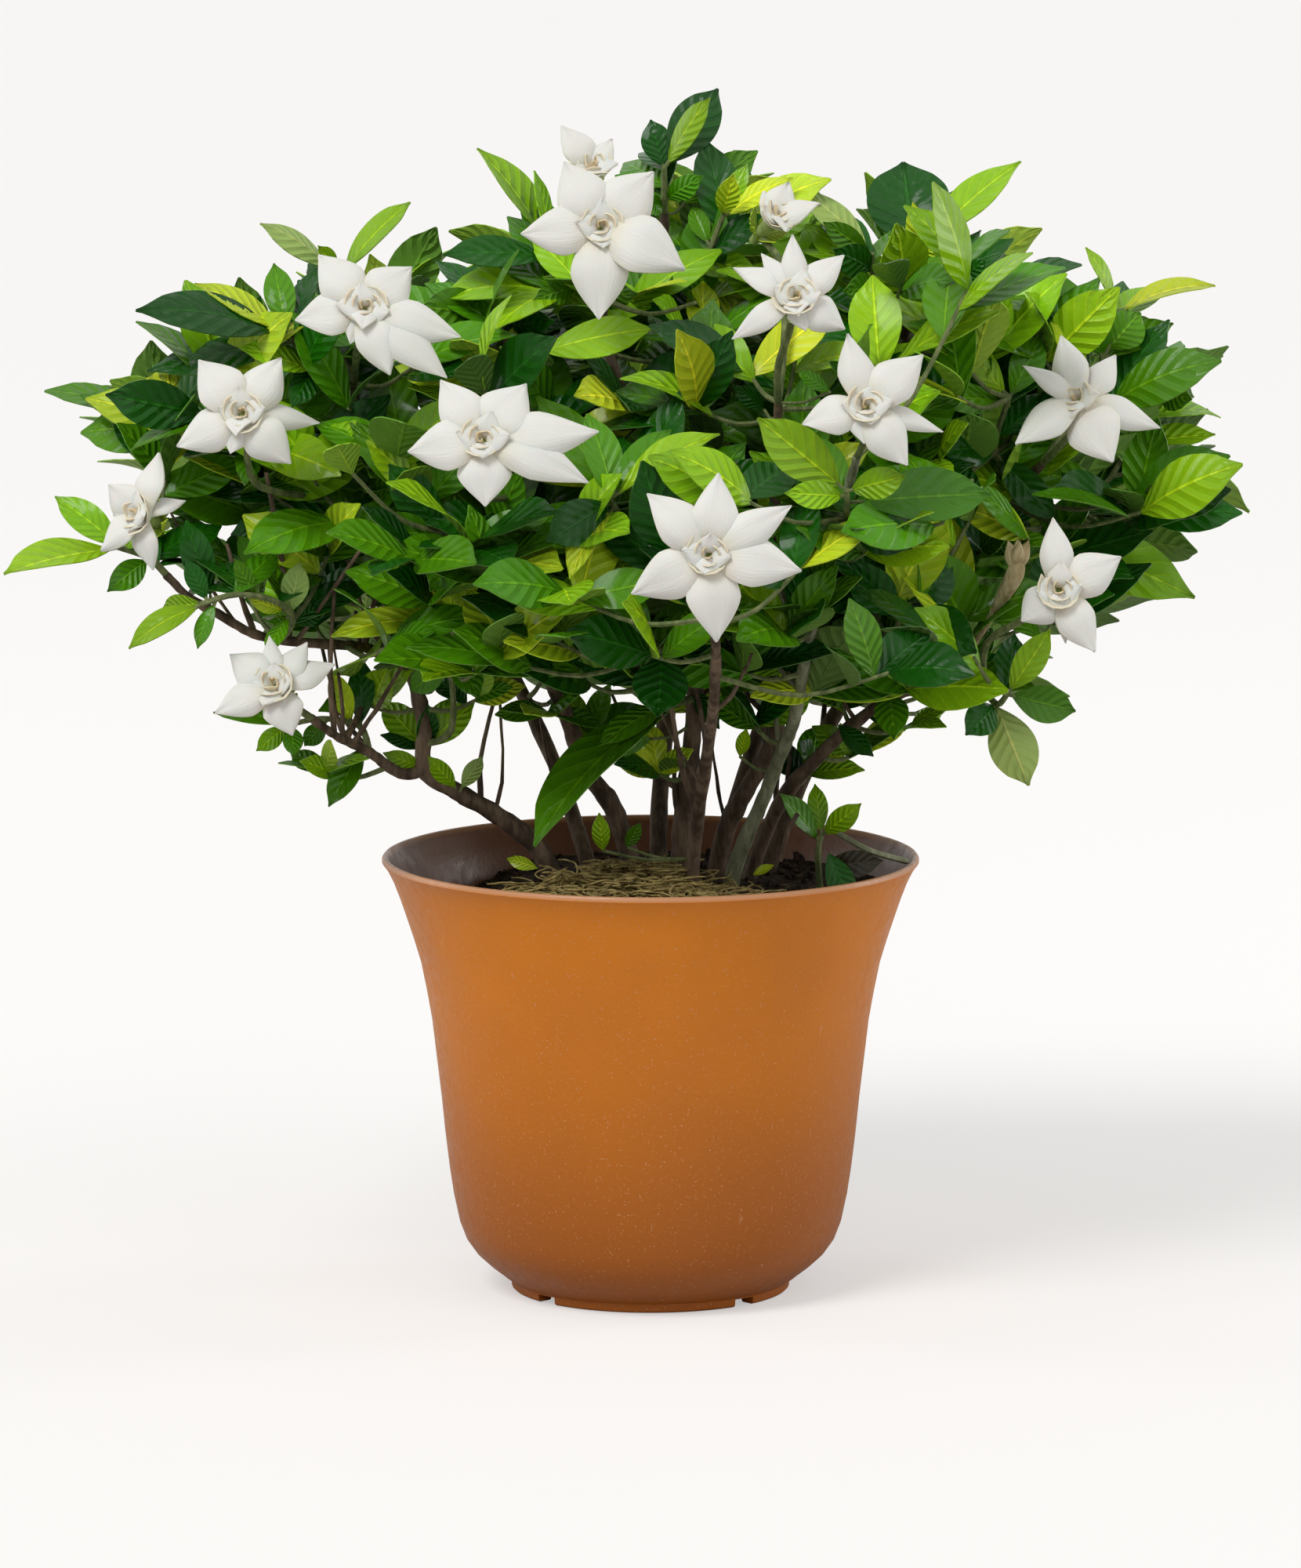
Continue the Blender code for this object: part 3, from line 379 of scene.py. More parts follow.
def stageSet():
    settings = stageSettings
    target = Vector((0, 0, viewSettings["targetHeight"]))
    pitch = math.radians(viewSettings["pitch"])
    place = target + viewSettings["distance"] * Vector((0, -math.cos(pitch), math.sin(pitch)))
    bpy.ops.object.camera_add(location=place, rotation=(math.radians(90) - pitch, 0, 0))
    camera = bpy.context.object
    camera.name = "frontCamera"
    camera.data.lens = viewSettings["lens"]
    camera.data.sensor_width = viewSettings["sensor"]
    camera.data.clip_end = settings["floorSize"]
    bpy.context.scene.camera = camera
    for name, (way, energy, spread) in settings["suns"].items():
        lamp = addLamp("SUN", name, (0, 0, 2), Vector(way), energy)
        lamp.data.angle = math.radians(spread)
    for name, (place, energy) in settings["strips"].items():
        lamp = addLamp("AREA", name, place, Vector(settings["stripAim"]) - Vector(place), energy)
        lamp.data.shape = "RECTANGLE"
        lamp.data.size, lamp.data.size_y = settings["stripSize"]
        lamp.visible_camera = False
    bpy.ops.mesh.primitive_plane_add(size=settings["floorSize"], location=(0, 0, -settings["floorDrop"]))
    floor = bpy.context.object
    floor.name = "paleFloor"
    made, tree, shader = startFinish("paleFloor", 0.9, 0.0)
    shader.inputs["Base Color"].default_value = settings["floor"]
    shader.inputs["Emission Color"].default_value = settings["white"]
    rays = put(tree, "ShaderNodeLightPath")
    glow = maths(tree, "MULTIPLY", rays.outputs["Is Camera Ray"], settings["floorGlow"])
    tree.links.new(glow, shader.inputs["Emission Strength"])
    floor.data.materials.append(made)
    world = bpy.data.worlds.new("studioLight")
    bpy.context.scene.world = world
    world.use_nodes = True
    tree = world.node_tree
    rays = put(tree, "ShaderNodeLightPath")
    shown = maths(tree, "MAXIMUM", rays.outputs["Is Camera Ray"],
                  maths(tree, "MAXIMUM", rays.outputs["Is Glossy Ray"], rays.outputs["Is Transmission Ray"]))
    background = tree.nodes["Background"]
    background.inputs[0].default_value = settings["white"]
    tree.links.new(ramp(tree, shown, 0.0, 1.0, *settings["worldLight"]), background.inputs[1])
    bpy.context.scene.view_settings.view_transform = "Standard"


stageSet()
print("camera, light and floor ready")


def blank(name, lengthSteps, widthSteps):
    # a closed sheet for a leaf or petal: x along, y across, z from the face to the back
    deselectAll()
    bpy.ops.mesh.primitive_grid_add(x_subdivisions=lengthSteps, y_subdivisions=widthSteps, size=1)
    piece = bpy.context.object
    piece.name = name
    wall = piece.modifiers.new("Wall", "SOLIDIFY")
    wall.thickness = 1.0
    wall.offset = -1.0
    bpy.ops.object.modifier_apply(modifier=wall.name)
    bpy.ops.object.shade_smooth_by_angle(angle=math.radians(60))
    return piece


blanks = {"fine": blank("leafBlank", 26, 8), "plain": blank("fillLeafBlank", 10, 4),
          "petal": blank("petalBlank", 14, 8), "roll": blank("rollBlank", 36, 5)}


def pressed(kind, rule, thickness, name, finish, colour=None):
    # a copy of a blank, each point placed by rule(u, v) -> (place, outward), in mm
    piece = blanks[kind].copy()
    piece.data = blanks[kind].data.copy()
    bpy.context.scene.collection.objects.link(piece)
    piece.name = name
    spots, under = [], []
    for vert in blanks[kind].data.vertices:
        place, out = rule(vert.co.x + 0.5, vert.co.y * 2)
        back = -vert.co.z
        spots.extend((place - out * (thickness * back)) * mm)
        under.append(1.0 if back > 0.5 else 0.0)
    piece.data.vertices.foreach_set("co", spots)
    piece.data.update()
    piece.data.materials.append(finish)
    if colour:
        setTone(piece, colour, under)
    return piece


leafShapeSettings = {"thickness": 0.35, "bow": 0.07, "cup": 0.20, "quilt": 0.035, "wave": 0.05,
                     "widthShare": 0.40, "backFrom": 60}
toneColours = {"D": (0.007, 0.085, 0.0015), "M": (0.060, 0.215, 0.002), "L": (0.210, 0.450, 0.006),
               "Y": (0.440, 0.620, 0.020), "P": (0.280, 0.420, 0.110), "G": (0.004, 0.060, 0.0015),
               "B": (0.030, 0.024, 0.012)}


def leafWidthAt(u):
    body = math.sin(math.pi * min(1.0, max(0.0, u)) ** 1.06) ** 0.8
    drip = 1 - 0.45 * max(0.0, (u - 0.82) / 0.18)
    return max(0.02, body * drip)


def leafNormal(foot, tip, width):
    # a leaf that looks narrower than it is must be turned: this gives its normal and full width
    way = (tip - foot).normalized()
    full = max(width, leafShapeSettings["widthShare"] * (tip - foot).length)
    front = Vector((0, -1, 0.1))
    if foot.y + tip.y > leafShapeSettings["backFrom"]:
        front.y = 1
    front = (front - way * front.dot(way)).normalized()
    up = way.cross(front)
    if up.z < 0:
        up = -up
    turn = math.acos(min(1, width / full))
    return (front * math.cos(turn) + up * math.sin(turn)).normalized(), full


def leafPiece(foot, tip, width, tone, luck, name, kind="fine", normal=None):
    up, full = leafNormal(foot, tip, width)
    if normal is not None:
        up = normal
    settings = leafShapeSettings
    way = (tip - foot).normalized()
    across = way.cross(up).normalized()
    length = (tip - foot).length
    bow = settings["bow"] * length * luck.uniform(0.5, 1.5)
    cup = settings["cup"] * luck.uniform(-0.4, 1.3)
    wave = settings["wave"] * luck.uniform(0.3, 1.5)
    twist = luck.uniform(-0.35, 0.35)
    phase = luck.uniform(0, wholeTurn)
    quilt = settings["quilt"] if kind == "fine" else 0.0
    if tone == "P":
        across = -across
        up = -up
        bow = -bow
    pairs = leafLook["veinPairs"]

    def rule(u, v):
        half = 0.5 * full * leafWidthAt(u)
        stalk = 0.5 * min(0.9, 0.05 * full)
        half = max(half, stalk)
        turn = twist * (u - 0.5)
        side = across * math.cos(turn) + up * math.sin(turn)
        out = up * math.cos(turn) - across * math.sin(turn)
        spot = u * pairs - abs(v) * leafLook["veinSweep"]
        ridge = abs(spot - round(spot)) * 2
        rise = cup * abs(v) ** 1.3 * half + wave * half * v * v * math.sin(7 * u + phase + 1.5 * v)
        rise += quilt * full * (ridge ** 0.7 - 0.5) * min(1.0, 4 * abs(v)) * (1 - abs(v) ** 4)
        rise -= quilt * full * 0.6 * max(0.0, 1 - abs(v) / 0.25)
        lift = bow * 4 * u * (1 - u)
        return foot + way * (length * u) + up * lift + side * (v * half) + out * rise, out

    shade = luck.uniform(0.8, 1.25)
    warm = luck.uniform(0.9, 1.15)
    base = toneColours[tone]
    colour = (base[0] * shade * warm, base[1] * shade, base[2] * shade)
    return pressed(kind, rule, settings["thickness"], name, leafMat, colour)


# rows are (height, radius), up the inside from the middle of the floor and down the outside
potSettings = {
    "segments": 128,
    "inside": (
        (5.0, 0.01), (5.0, 41.5), (11.0, 49.2), (20.0, 53.7), (36.0, 56.7), (57.0, 58.9), (80.0, 61.6),
        (97.0, 64.8), (111.0, 69.2), (118.0, 71.6), (122.0, 73.5), (125.6, 75.6), (127.2, 76.4)),
    "lip": ((127.9, 76.9), (128.1, 77.5), (127.9, 78.1), (127.3, 78.5), (126.6, 78.5), (126.0, 78.0)),
    "outside": (
        (124.6, 77.0), (121.0, 75.2), (116.0, 73.3), (111.0, 71.6), (104.0, 69.3), (97.0, 67.2), (88.0, 65.4),
        (80.0, 64.0), (68.0, 62.6), (57.0, 61.3), (46.0, 60.2), (36.0, 59.0), (28.0, 57.8), (20.0, 56.1),
        (15.0, 54.2), (11.0, 51.4), (7.5, 47.6), (5.2, 44.6), (4.2, 43.4), (3.4, 42.2), (2.6, 41.0),
        (0.5, 40.8), (0.0, 40.3)),
    "foot": ((0.0, 36.4), (0.5, 36.0), (2.6, 36.0), (2.6, 0.01)),
    "notches": {"count": 4, "turn": -48.0, "ring": 39.8, "size": (12, 7.0, 4.6)},
    "drains": {"count": 4, "ring": 22.0, "radius": 4.0, "depth": 20, "height": 3},
}


def roundAbout(count, ring, height, turn=0.0):
    # (angle, place) of each of count spots on a ring about the pot's axis
    spots = []
    for i in range(count):
        angle = math.radians(turn + 360 * i / count)
        spots.append((angle, (ring * mm * math.cos(angle), ring * mm * math.sin(angle), height * mm)))
    return spots


def makePot():
    rows = potSettings["inside"] + potSettings["lip"] + potSettings["outside"] + potSettings["foot"]
    deselectAll()
    height, radius = rows[0]
    bpy.ops.mesh.primitive_circle_add(vertices=potSettings["segments"], radius=radius * mm,
                                      fill_type="NOTHING", location=(0, 0, 0))
    piece = bpy.context.object
    bpy.ops.object.mode_set(mode="EDIT")
    bpy.ops.mesh.select_all(action="SELECT")
    bpy.ops.transform.translate(value=(0, 0, height * mm))
    for nextHeight, nextRadius in rows[1:]:
        rise = (0, 0, (nextHeight - height) * mm)
        bpy.ops.mesh.extrude_region_move(TRANSFORM_OT_translate={"value": rise})
        share = nextRadius / radius
        bpy.ops.transform.resize(value=(share, share, 1), center_override=(0, 0, nextHeight * mm))
        height, radius = nextHeight, nextRadius
    bpy.ops.mesh.select_all(action="SELECT")
    bpy.ops.mesh.remove_doubles(threshold=0.00003)
    bpy.ops.mesh.normals_make_consistent(inside=False)
    bpy.ops.object.mode_set(mode="OBJECT")
    cutters = []
    notches, drains = potSettings["notches"], potSettings["drains"]
    for angle, place in roundAbout(notches["count"], notches["ring"], 0, notches["turn"]):
        bpy.ops.mesh.primitive_cube_add(size=mm, rotation=(0, 0, angle), location=place)
        bpy.context.object.scale = notches["size"]
        cutters.append(bpy.context.object)
    for _, place in roundAbout(drains["count"], drains["ring"], drains["height"]):
        bpy.ops.mesh.primitive_cylinder_add(vertices=40, radius=drains["radius"] * mm,
                                            depth=drains["depth"] * mm, location=place)
        cutters.append(bpy.context.object)
    for cutter in cutters:
        applyPlace(cutter)
    cutter = joinAll(cutters, "potCutter")
    selectOnly(piece)
    cut = piece.modifiers.new("Notches", "BOOLEAN")
    cut.operation = "DIFFERENCE"
    cut.object = cutter
    bpy.ops.object.modifier_apply(modifier=cut.name)
    bpy.data.objects.remove(cutter)
    selectOnly(piece)
    bpy.ops.object.shade_smooth_by_angle(angle=math.radians(35))
    piece.name = "nurseryPot"
    piece.data.materials.clear()
    piece.data.materials.append(potMat)
    standFor(piece, "pot")


makePot()
print("pot ready")


# the mix lies lower on the left, from dipFrom to dipTo, and is heaped round the stems
mixSettings = {"level": 117.5, "dip": 8.0, "dipFrom": -30.0, "dipTo": -62.0, "heap": 1.8,
               "heapPlace": (14, 8), "heapSpread": 900, "rough": 1.3, "wallGap": 0.7, "radius": 70.0,
               "bottom": 5.6, "bottomRadius": 38.5, "rings": 30, "sectors": 110,
               "crumbs": 420, "crumbReach": 68, "seed": 5}


def wallInside(height):
    rows = potSettings["inside"]
    for (low, lower), (high, upper) in zip(rows[1:], rows[2:]):
        if low <= height <= high:
            return lower + (upper - lower) * (height - low) / max(0.01, high - low)
    return rows[-1][1]


def mixHeight(x, y):
    settings = mixSettings
    dip = min(1, max(0, (settings["dipFrom"] - x) / (settings["dipFrom"] - settings["dipTo"])))
    heapX, heapY = settings["heapPlace"]
    heap = settings["heap"] * math.exp(-((x - heapX) ** 2 + (y - heapY) ** 2) / settings["heapSpread"])
    return settings["level"] - settings["dip"] * dip * dip * (3 - 2 * dip) + heap


def makeMix():
    settings = mixSettings
    deselectAll()
    bpy.ops.mesh.primitive_cylinder_add(vertices=settings["sectors"], radius=settings["radius"] * mm,
                                        depth=0.111, location=(0, 0, 0.0605))
    piece = bpy.context.object
    applyPlace(piece)
    bpy.ops.object.mode_set(mode="EDIT")
    bpy.ops.mesh.select_mode(type="FACE")
    bpy.ops.mesh.select_all(action="DESELECT")
    bpy.ops.object.mode_set(mode="OBJECT")
    for face in piece.data.polygons:
        face.select = face.normal.z > 0.9
    bpy.ops.object.mode_set(mode="EDIT")
    for _ in range(settings["rings"]):
        bpy.ops.mesh.inset(thickness=settings["radius"] * mm / (settings["rings"] + 2))
    bpy.ops.object.mode_set(mode="OBJECT")
    for vert in piece.data.vertices:
        x, y, z = vert.co / mm
        reach = math.hypot(x, y)
        if z < 60:
            share = settings["bottomRadius"] / reach
            vert.co = (x * share * mm, y * share * mm, settings["bottom"] * mm)
            continue
        turn = math.atan2(y, x)
        level = mixHeight(64 * math.cos(turn), 64 * math.sin(turn))
        wide = (wallInside(level) - settings["wallGap"]) * min(1, reach / settings["radius"])
        x, y = wide * math.cos(turn), wide * math.sin(turn)
        rough = noise.fractal(Vector((x, y, 0)) * 0.22, 0.8, 2.1, 5)
        vert.co = (x * mm, y * mm, (mixHeight(x, y) + settings["rough"] * rough) * mm)
    bpy.ops.object.shade_smooth()
    piece.data.materials.append(soilMat)
    luck = random.Random(settings["seed"])
    lumps = [piece]
    bpy.ops.mesh.primitive_ico_sphere_add(subdivisions=2, radius=1.0)
    lump = bpy.context.object
    lump.data.materials.append(soilMat)
    lump.data.materials.append(clodMat)
    for number in range(settings["crumbs"]):
        turn = luck.uniform(0, 2 * math.pi)
        reach = settings["crumbReach"] * math.sqrt(luck.random())
        x, y = reach * math.cos(turn), reach * math.sin(turn)
        size = luck.uniform(0.6, 1.4) if number % 6 else luck.uniform(1.4, 2.6)
        crumb = lump.copy()
        crumb.data = lump.data.copy()
        bpy.context.scene.collection.objects.link(crumb)
        shift = Vector((number * 3.1, 0, 0))
        angle = luck.uniform(0, wholeTurn)
        spin = Matrix.Rotation(angle, 3, (luck.random(), luck.random(), luck.random() + 0.1))
        place = Vector((x, y, mixHeight(x, y) + 0.5 * size))
        flat = luck.uniform(0.5, 0.9)
        for vert in crumb.data.vertices:
            out = vert.co.normalized()
            spot = out * size * (1 + 0.5 * noise.noise(out * 1.4 + shift))
            spot = spin @ Vector((spot.x, spot.y * flat, spot.z * 0.7))
            vert.co = (place + spot) * mm
        for face in crumb.data.polygons:
            face.material_index = 1 if number % 5 == 0 else 0
        lumps.append(crumb)
    bpy.data.objects.remove(lump)
    standFor(joinAll(lumps, "pottingMix"), "potting_mix")


makeMix()
print("potting mix ready")


mulchSettings = {"strands": 950, "radius": (6.0, 69.0), "arc": (204, 312), "rise": 11.0, "knots": (9, 16),
                 "step": 1.25, "thick": (0.16, 0.42), "wallGap": 0.9, "top": 128.0, "seed": 8}


def makeMulch():
    settings = mulchSettings
    luck = random.Random(settings["seed"])
    ways = []
    for _ in range(settings["strands"]):
        share = luck.random()
        arcStart, arcEnd = settings["arc"]
        turn = math.radians(arcStart + (arcEnd - arcStart) * share)
        reach = luck.uniform(*settings["radius"])
        x, y = reach * math.cos(turn), reach * math.sin(turn)
        depth = math.sin(math.pi * min(1, max(0, 0.12 + 0.8 * share)))
        place = Vector((x, y, mixHeight(x, y) + luck.uniform(0.2, settings["rise"] * depth)))
        heading, curl = luck.uniform(0, wholeTurn), luck.uniform(-0.5, 0.5)
        slope = luck.uniform(-0.25, 0.3)
        points = []
        for _ in range(luck.randint(*settings["knots"])):
            points.append(place.copy())
            heading += curl + luck.uniform(-0.35, 0.35)
            slope = 0.8 * slope + luck.uniform(-0.18, 0.18)
            place = place + settings["step"] * Vector((math.cos(heading), math.sin(heading), slope))
            limit = wallInside(min(127, place.z)) - settings["wallGap"]
            flat = math.hypot(place.x, place.y)
            if flat > limit:
                place.x *= limit / flat
                place.y *= limit / flat
            place.z = min(settings["top"], max(mixHeight(place.x, place.y) - 0.2, place.z))
        thick = luck.uniform(*settings["thick"])
        ways.append((points, [0.5 * thick] + [thick] * (len(points) - 2) + [0.5 * thick]))
    standFor(tubes(ways, "mulchFibres", fibreMat, 0), "mulch")


makeMulch()
print("mulch ready")

# each stem: radius at its foot and tip, and its way; a branch starts from the stem that it names
stemWays = {
    "stem_left": (3.1, 1.2, ((-24, 112, 4), (-33, 130, 2), (-45, 140, 0), (-57, 147, -4), (-66, 153, -8),
        (-66, 166, -9), (-69, 180, -9), (-74, 198, -8), (-79, 216, -7), (-84, 236, -6),
        (-85, 254, -10), (-86, 266, -20))),
    "stem_mid_left": (3.0, 1.2, ((-2, 112, 10), (-10, 140, 8), (-18, 152, 4), (-23, 165, -2), (-29, 180, -10),
        (-34, 191, -20), (-38, 208, -35), (-41, 228, -46), (-42, 250, -42),
        (-42, 270, -32), (-42, 279, -28))),
    "stem_centre": (3.3, 1.2, ((8, 110, 0), (9, 128, -2), (10, 145, -5), (12, 160, -8), (13, 178, -12),
        (11, 198, -20), (6, 222, -30), (-2, 245, -36), (-9, 265, -36), (-13, 280, -34),
        (-14, 292, -36))),
    "stem_mid_right": (3.0, 1.2, ((17, 110, 6), (22, 135, 4), (29, 149, 0), (36, 162, -5), (38, 180, -12),
        (36, 200, -25), (36, 225, -40), (37, 245, -50), (37, 260, -58))),
    "stem_grey": (2.4, 1.2, ((21, 110, -8), (26, 128, -10), (32, 142, -14), (37, 155, -20), (42, 168, -28),
        (45, 185, -38), (50, 208, -50), (56, 230, -62), (60, 244, -70))),
    "stem_front": (2.2, 1.2, ((11, 110, -17), (14, 140, -30), (18, 168, -56), (19, 186, -80),
        (18, 198, -94))),
    "stem_low_right": (2.4, 1.2, ((25, 111, 14), (37, 142, 8), (49, 157, 0), (61, 168, -6), (74, 176, -12),
        (88, 177, -18), (97, 177, -22))),
    "stem_right": (2.6, 1.2, ((30, 111, 25), (44, 150, 24), (60, 180, 20), (78, 204, 14), (95, 224, 6),
        (107, 236, -4), (114, 243, -12))),
    "stem_top_right": (2.6, 1.2, ((15, 110, 27), (30, 160, 36), (48, 205, 38), (62, 240, 30), (70, 268, 18),
        (75, 286, 9), (76, 295, 5))),
    "stem_top": (2.8, 1.2, ((2, 110, 23), (3, 150, 33), (7, 200, 36), (8, 250, 30), (5, 285, 16), (4, 306, 8),
        (4, 316, 6))),
    "stem_back_left": (2.6, 1.2, ((-14, 110, 21), (-26, 150, 35), (-44, 190, 50), (-62, 222, 60),
        (-78, 246, 62))),
}
branchWays = {
    "branch_low_left": ("stem_left", 1.8, 1.1, ((-73, 152, -12), (-82, 158, -18), (-92, 163, -28),
        (-99, 168, -36))),
    "branch_far_left": ("stem_left", 1.7, 1.1, ((-76, 186, -15), (-84, 189, -22), (-98, 190, -30),
        (-114, 192, -38), (-125, 198, -42), (-134, 203, -44),
        (-141, 210, -46))),
}
stemLines = {}


def roughen(piece, amount, scale):
    for vert in piece.data.vertices:
        shake = noise.noise_vector(vert.co / mm * scale)
        vert.co += shake * (amount * mm)
    piece.data.update()


barkSettings = {"knot": 0.12, "knotSpacing": 11, "roughness": 0.35, "ripple": 0.35}
sideTwigs = {"count": 6, "share": (0.12, 0.75), "low": 132, "high": 215, "length": (22.0, 46.0),
             "radius": (0.6, 1.2)}


def woody(name, line, thick, thin):
    fine = smoothLine(line, 8)
    count = len(fine) - 1
    radii = []
    for i in range(count + 1):
        share = i / count
        beat = math.cos(2 * math.pi * share * (count / barkSettings["knotSpacing"]))
        knot = barkSettings["knot"] * max(0.0, beat) ** 6
        radii.append((thick + (thin - thick) * share) * (1 + knot))
    finish = greyBarkMat if name == "stem_grey" else barkMat
    ways = [(fine, radii)]
    luck = random.Random(name)
    for i in range(sideTwigs["count"]):
        foot = along(line, luck.uniform(*sideTwigs["share"]))
        if not sideTwigs["low"] < foot.z < sideTwigs["high"]:
            continue
        reach = luck.uniform(*sideTwigs["length"])
        way = Vector((luck.uniform(-1, 1), luck.uniform(-0.8, 1), luck.uniform(0.5, 1.5))).normalized()
        bend = way + Vector((luck.uniform(-0.4, 0.4), luck.uniform(-0.4, 0.4), 0.5))
        elbow = foot + way * (0.45 * reach)
        route = smoothLine([foot, elbow, elbow + bend * (0.5 * reach)], 4)
        wide = luck.uniform(*sideTwigs["radius"])
        ways.append((route, [wide * (1 - 0.5 * k / 8) for k in range(9)]))
    piece = tubes(ways, camelName(name), finish, 3)
    roughen(piece, barkSettings["roughness"], barkSettings["ripple"])
    standFor(piece, name)
    stemLines[name] = smoothLine(line, 5)


def rooted(parent, route):
    # a route led out of the parent stem, from a little below where it starts
    return [nearestOn(stemLines[parent], route[0] - Vector((0, 0, 6)))] + route


for name, (thick, thin, points) in stemWays.items():
    woody(name, [seen(point) for point in points], thick, thin)
for name, (parent, thick, thin, points) in branchWays.items():
    way = [seen(point) for point in points]
    woody(name, rooted(parent, way), thick, thin)
print("stems ready")

# each flower: its stem, the way there, its heart, the way it faces, and its petals' tips and widths
bloomTable = {
    "bloom_crown": ("stem_centre", ((-14, 300, -42),), (-14.5, 310.5, -58), (0.05, -0.93, 0.36), (
        (-25, 330, 3, 14), (1, 327, 3, 15), (-37.5, 309, -2, 13), (10, 299, -3, 16), (-15, 284, -6, 15))),
    "bloom_left_top": ("stem_left", ((-85, 276, -40),), (-83, 287, -62), (0.05, -0.9, 0.42), (
        (-96, 303, 5, 13), (-69, 299.5, 5, 13), (-103, 284, 0, 12), (-55, 279, 0, 12), (-59, 267, -4, 11),
        (-75.5, 268, -6, 11), (-87, 277, -3, 7))),
    "bloom_left": ("stem_left", ((-98, 233, -26), (-115, 237, -44)), (-118.5, 256.5, -62),
                   (-0.1, -0.92, 0.36), (
        (-131, 272.5, 4, 13), (-107, 273, 4, 12), (-137.5, 247, 0, 12), (-104.5, 242, -2, 12),
        (-96, 254, 8, 7), (-122, 245, -3, 8))),
    "bloom_mid_left": ("stem_mid_left", ((-48, 232, -70), (-50, 236, -84)), (-48.5, 248, -100),
                       (-0.05, -0.92, 0.38), (
        (-61, 266, 5, 12), (-36, 265, 5, 14), (-70.5, 245, 0, 13), (-48, 229, -4, 14), (-15, 251, 2, 13),
        (-18, 236, 0, 11))),
    "bloom_front": ("stem_front", ((18, 204, -104),), (17, 214.5, -118), (0.0, -0.98, 0.2), (
        (-1, 232.5, 2, 12), (20, 238.5, 3, 12), (41, 229, 2, 10), (44, 210, 0, 13), (19.5, 189, -2, 14),
        (-5.5, 203, 0, 13))),
    "bloom_mid_right": ("stem_grey", ((62, 249, -78),), (62.5, 258, -92), (0.1, -0.92, 0.36), (
        (57, 279.5, 3, 10), (79, 273.5, 4, 12), (44, 253, 0, 11), (74.5, 241, -2, 12), (85, 251, 6, 6),
        (62, 247.5, -3, 9))),
    "bloom_right_top": ("stem_mid_right", ((37, 270, -64), (40, 280, -70)), (42, 290, -84),
                        (0.0, -0.9, 0.42), (
        (41, 308.5, 4, 7), (56, 302.5, 4, 9), (56.5, 281, 0, 10), (24, 299, 3, 7), (32, 303, 4, 6),
        (23.5, 278, 0, 7), (45, 280.5, -3, 7))),
    "bloom_right": ("stem_right", ((119, 248, -22),), (124, 261, -38), (-0.35, -0.75, 0.55), (
        (119, 280, 6, 10), (135, 274, 8, 10), (108, 271, -2, 6), (106, 248, -6, 12), (134, 243, -8, 15),
        (148, 253, 4, 9))),
    "bloom_low_right": ("stem_low_right", ((98, 190, -34), (109, 197, -42)), (119, 205, -58),
                        (0.05, -0.93, 0.3), (
        (117, 226.5, 4, 9), (137, 215, 3, 12), (129.5, 187, -2, 11), (108, 196, -1, 11), (121, 189.5, 2, 5))),
    "bloom_far_left": ("branch_far_left", ((-146, 217, -48),), (-148.5, 227, -60), (-0.6, -0.72, 0.32), (
        (-143, 245.5, 4, 10), (-157.5, 236, 2, 10), (-160, 217, -2, 9), (-135, 231.5, 4, 5),
        (-145, 211, -3, 8))),
    "bloom_low_left": ("branch_low_left", ((-105, 172, -44),), (-109.5, 177, -56), (-0.25, -0.8, 0.5), (
        (-122.5, 186.5, 3, 11), (-127, 169, -2, 10), (-104.5, 162.5, -3, 11), (-92, 183.5, 3, 9),
        (-100, 190, 4, 9), (-111, 192, 5, 6))),
    "bloom_behind": ("stem_centre", ((-16, 305, -28), (-19, 318, -20)), (-17, 328, -24), (0.1, -0.6, 0.8), (
        (-25.5, 341, 2, 10), (-11, 337, 2, 7), (-10, 330, -3, 8))),
    "bloom_hidden": ("stem_mid_right", ((39, 282, -48), (38, 300, -36)), (36, 314, -32), (0.5, -0.6, 0.6), (
        (49, 318, -3, 9), (40, 324.5, 3, 9), (33, 322, 3, 7))),
}
bloomSettings = {"tube": 1.4, "throat": 3.0, "tubeLength": 9.0, "petalThickness": 0.45, "innerPetals": 4,
                 "innerLength": 7.0, "innerWidth": 8.5, "widen": 1.24, "heartRadius": 5.4,
                 "heartHeight": 5.0, "heartTurns": 2.6, "stalk": 1.1, "sepals": 5, "sepalWidth": 1.8}


def petalWidthAt(u):
    if u < 0.5:
        return 0.38 + 0.62 * math.sin(math.pi * u) ** 1.2
    share = (u - 0.5) / 0.5
    return max(0.04, 1 - share ** 1.75) * (1 - 0.25 * share)


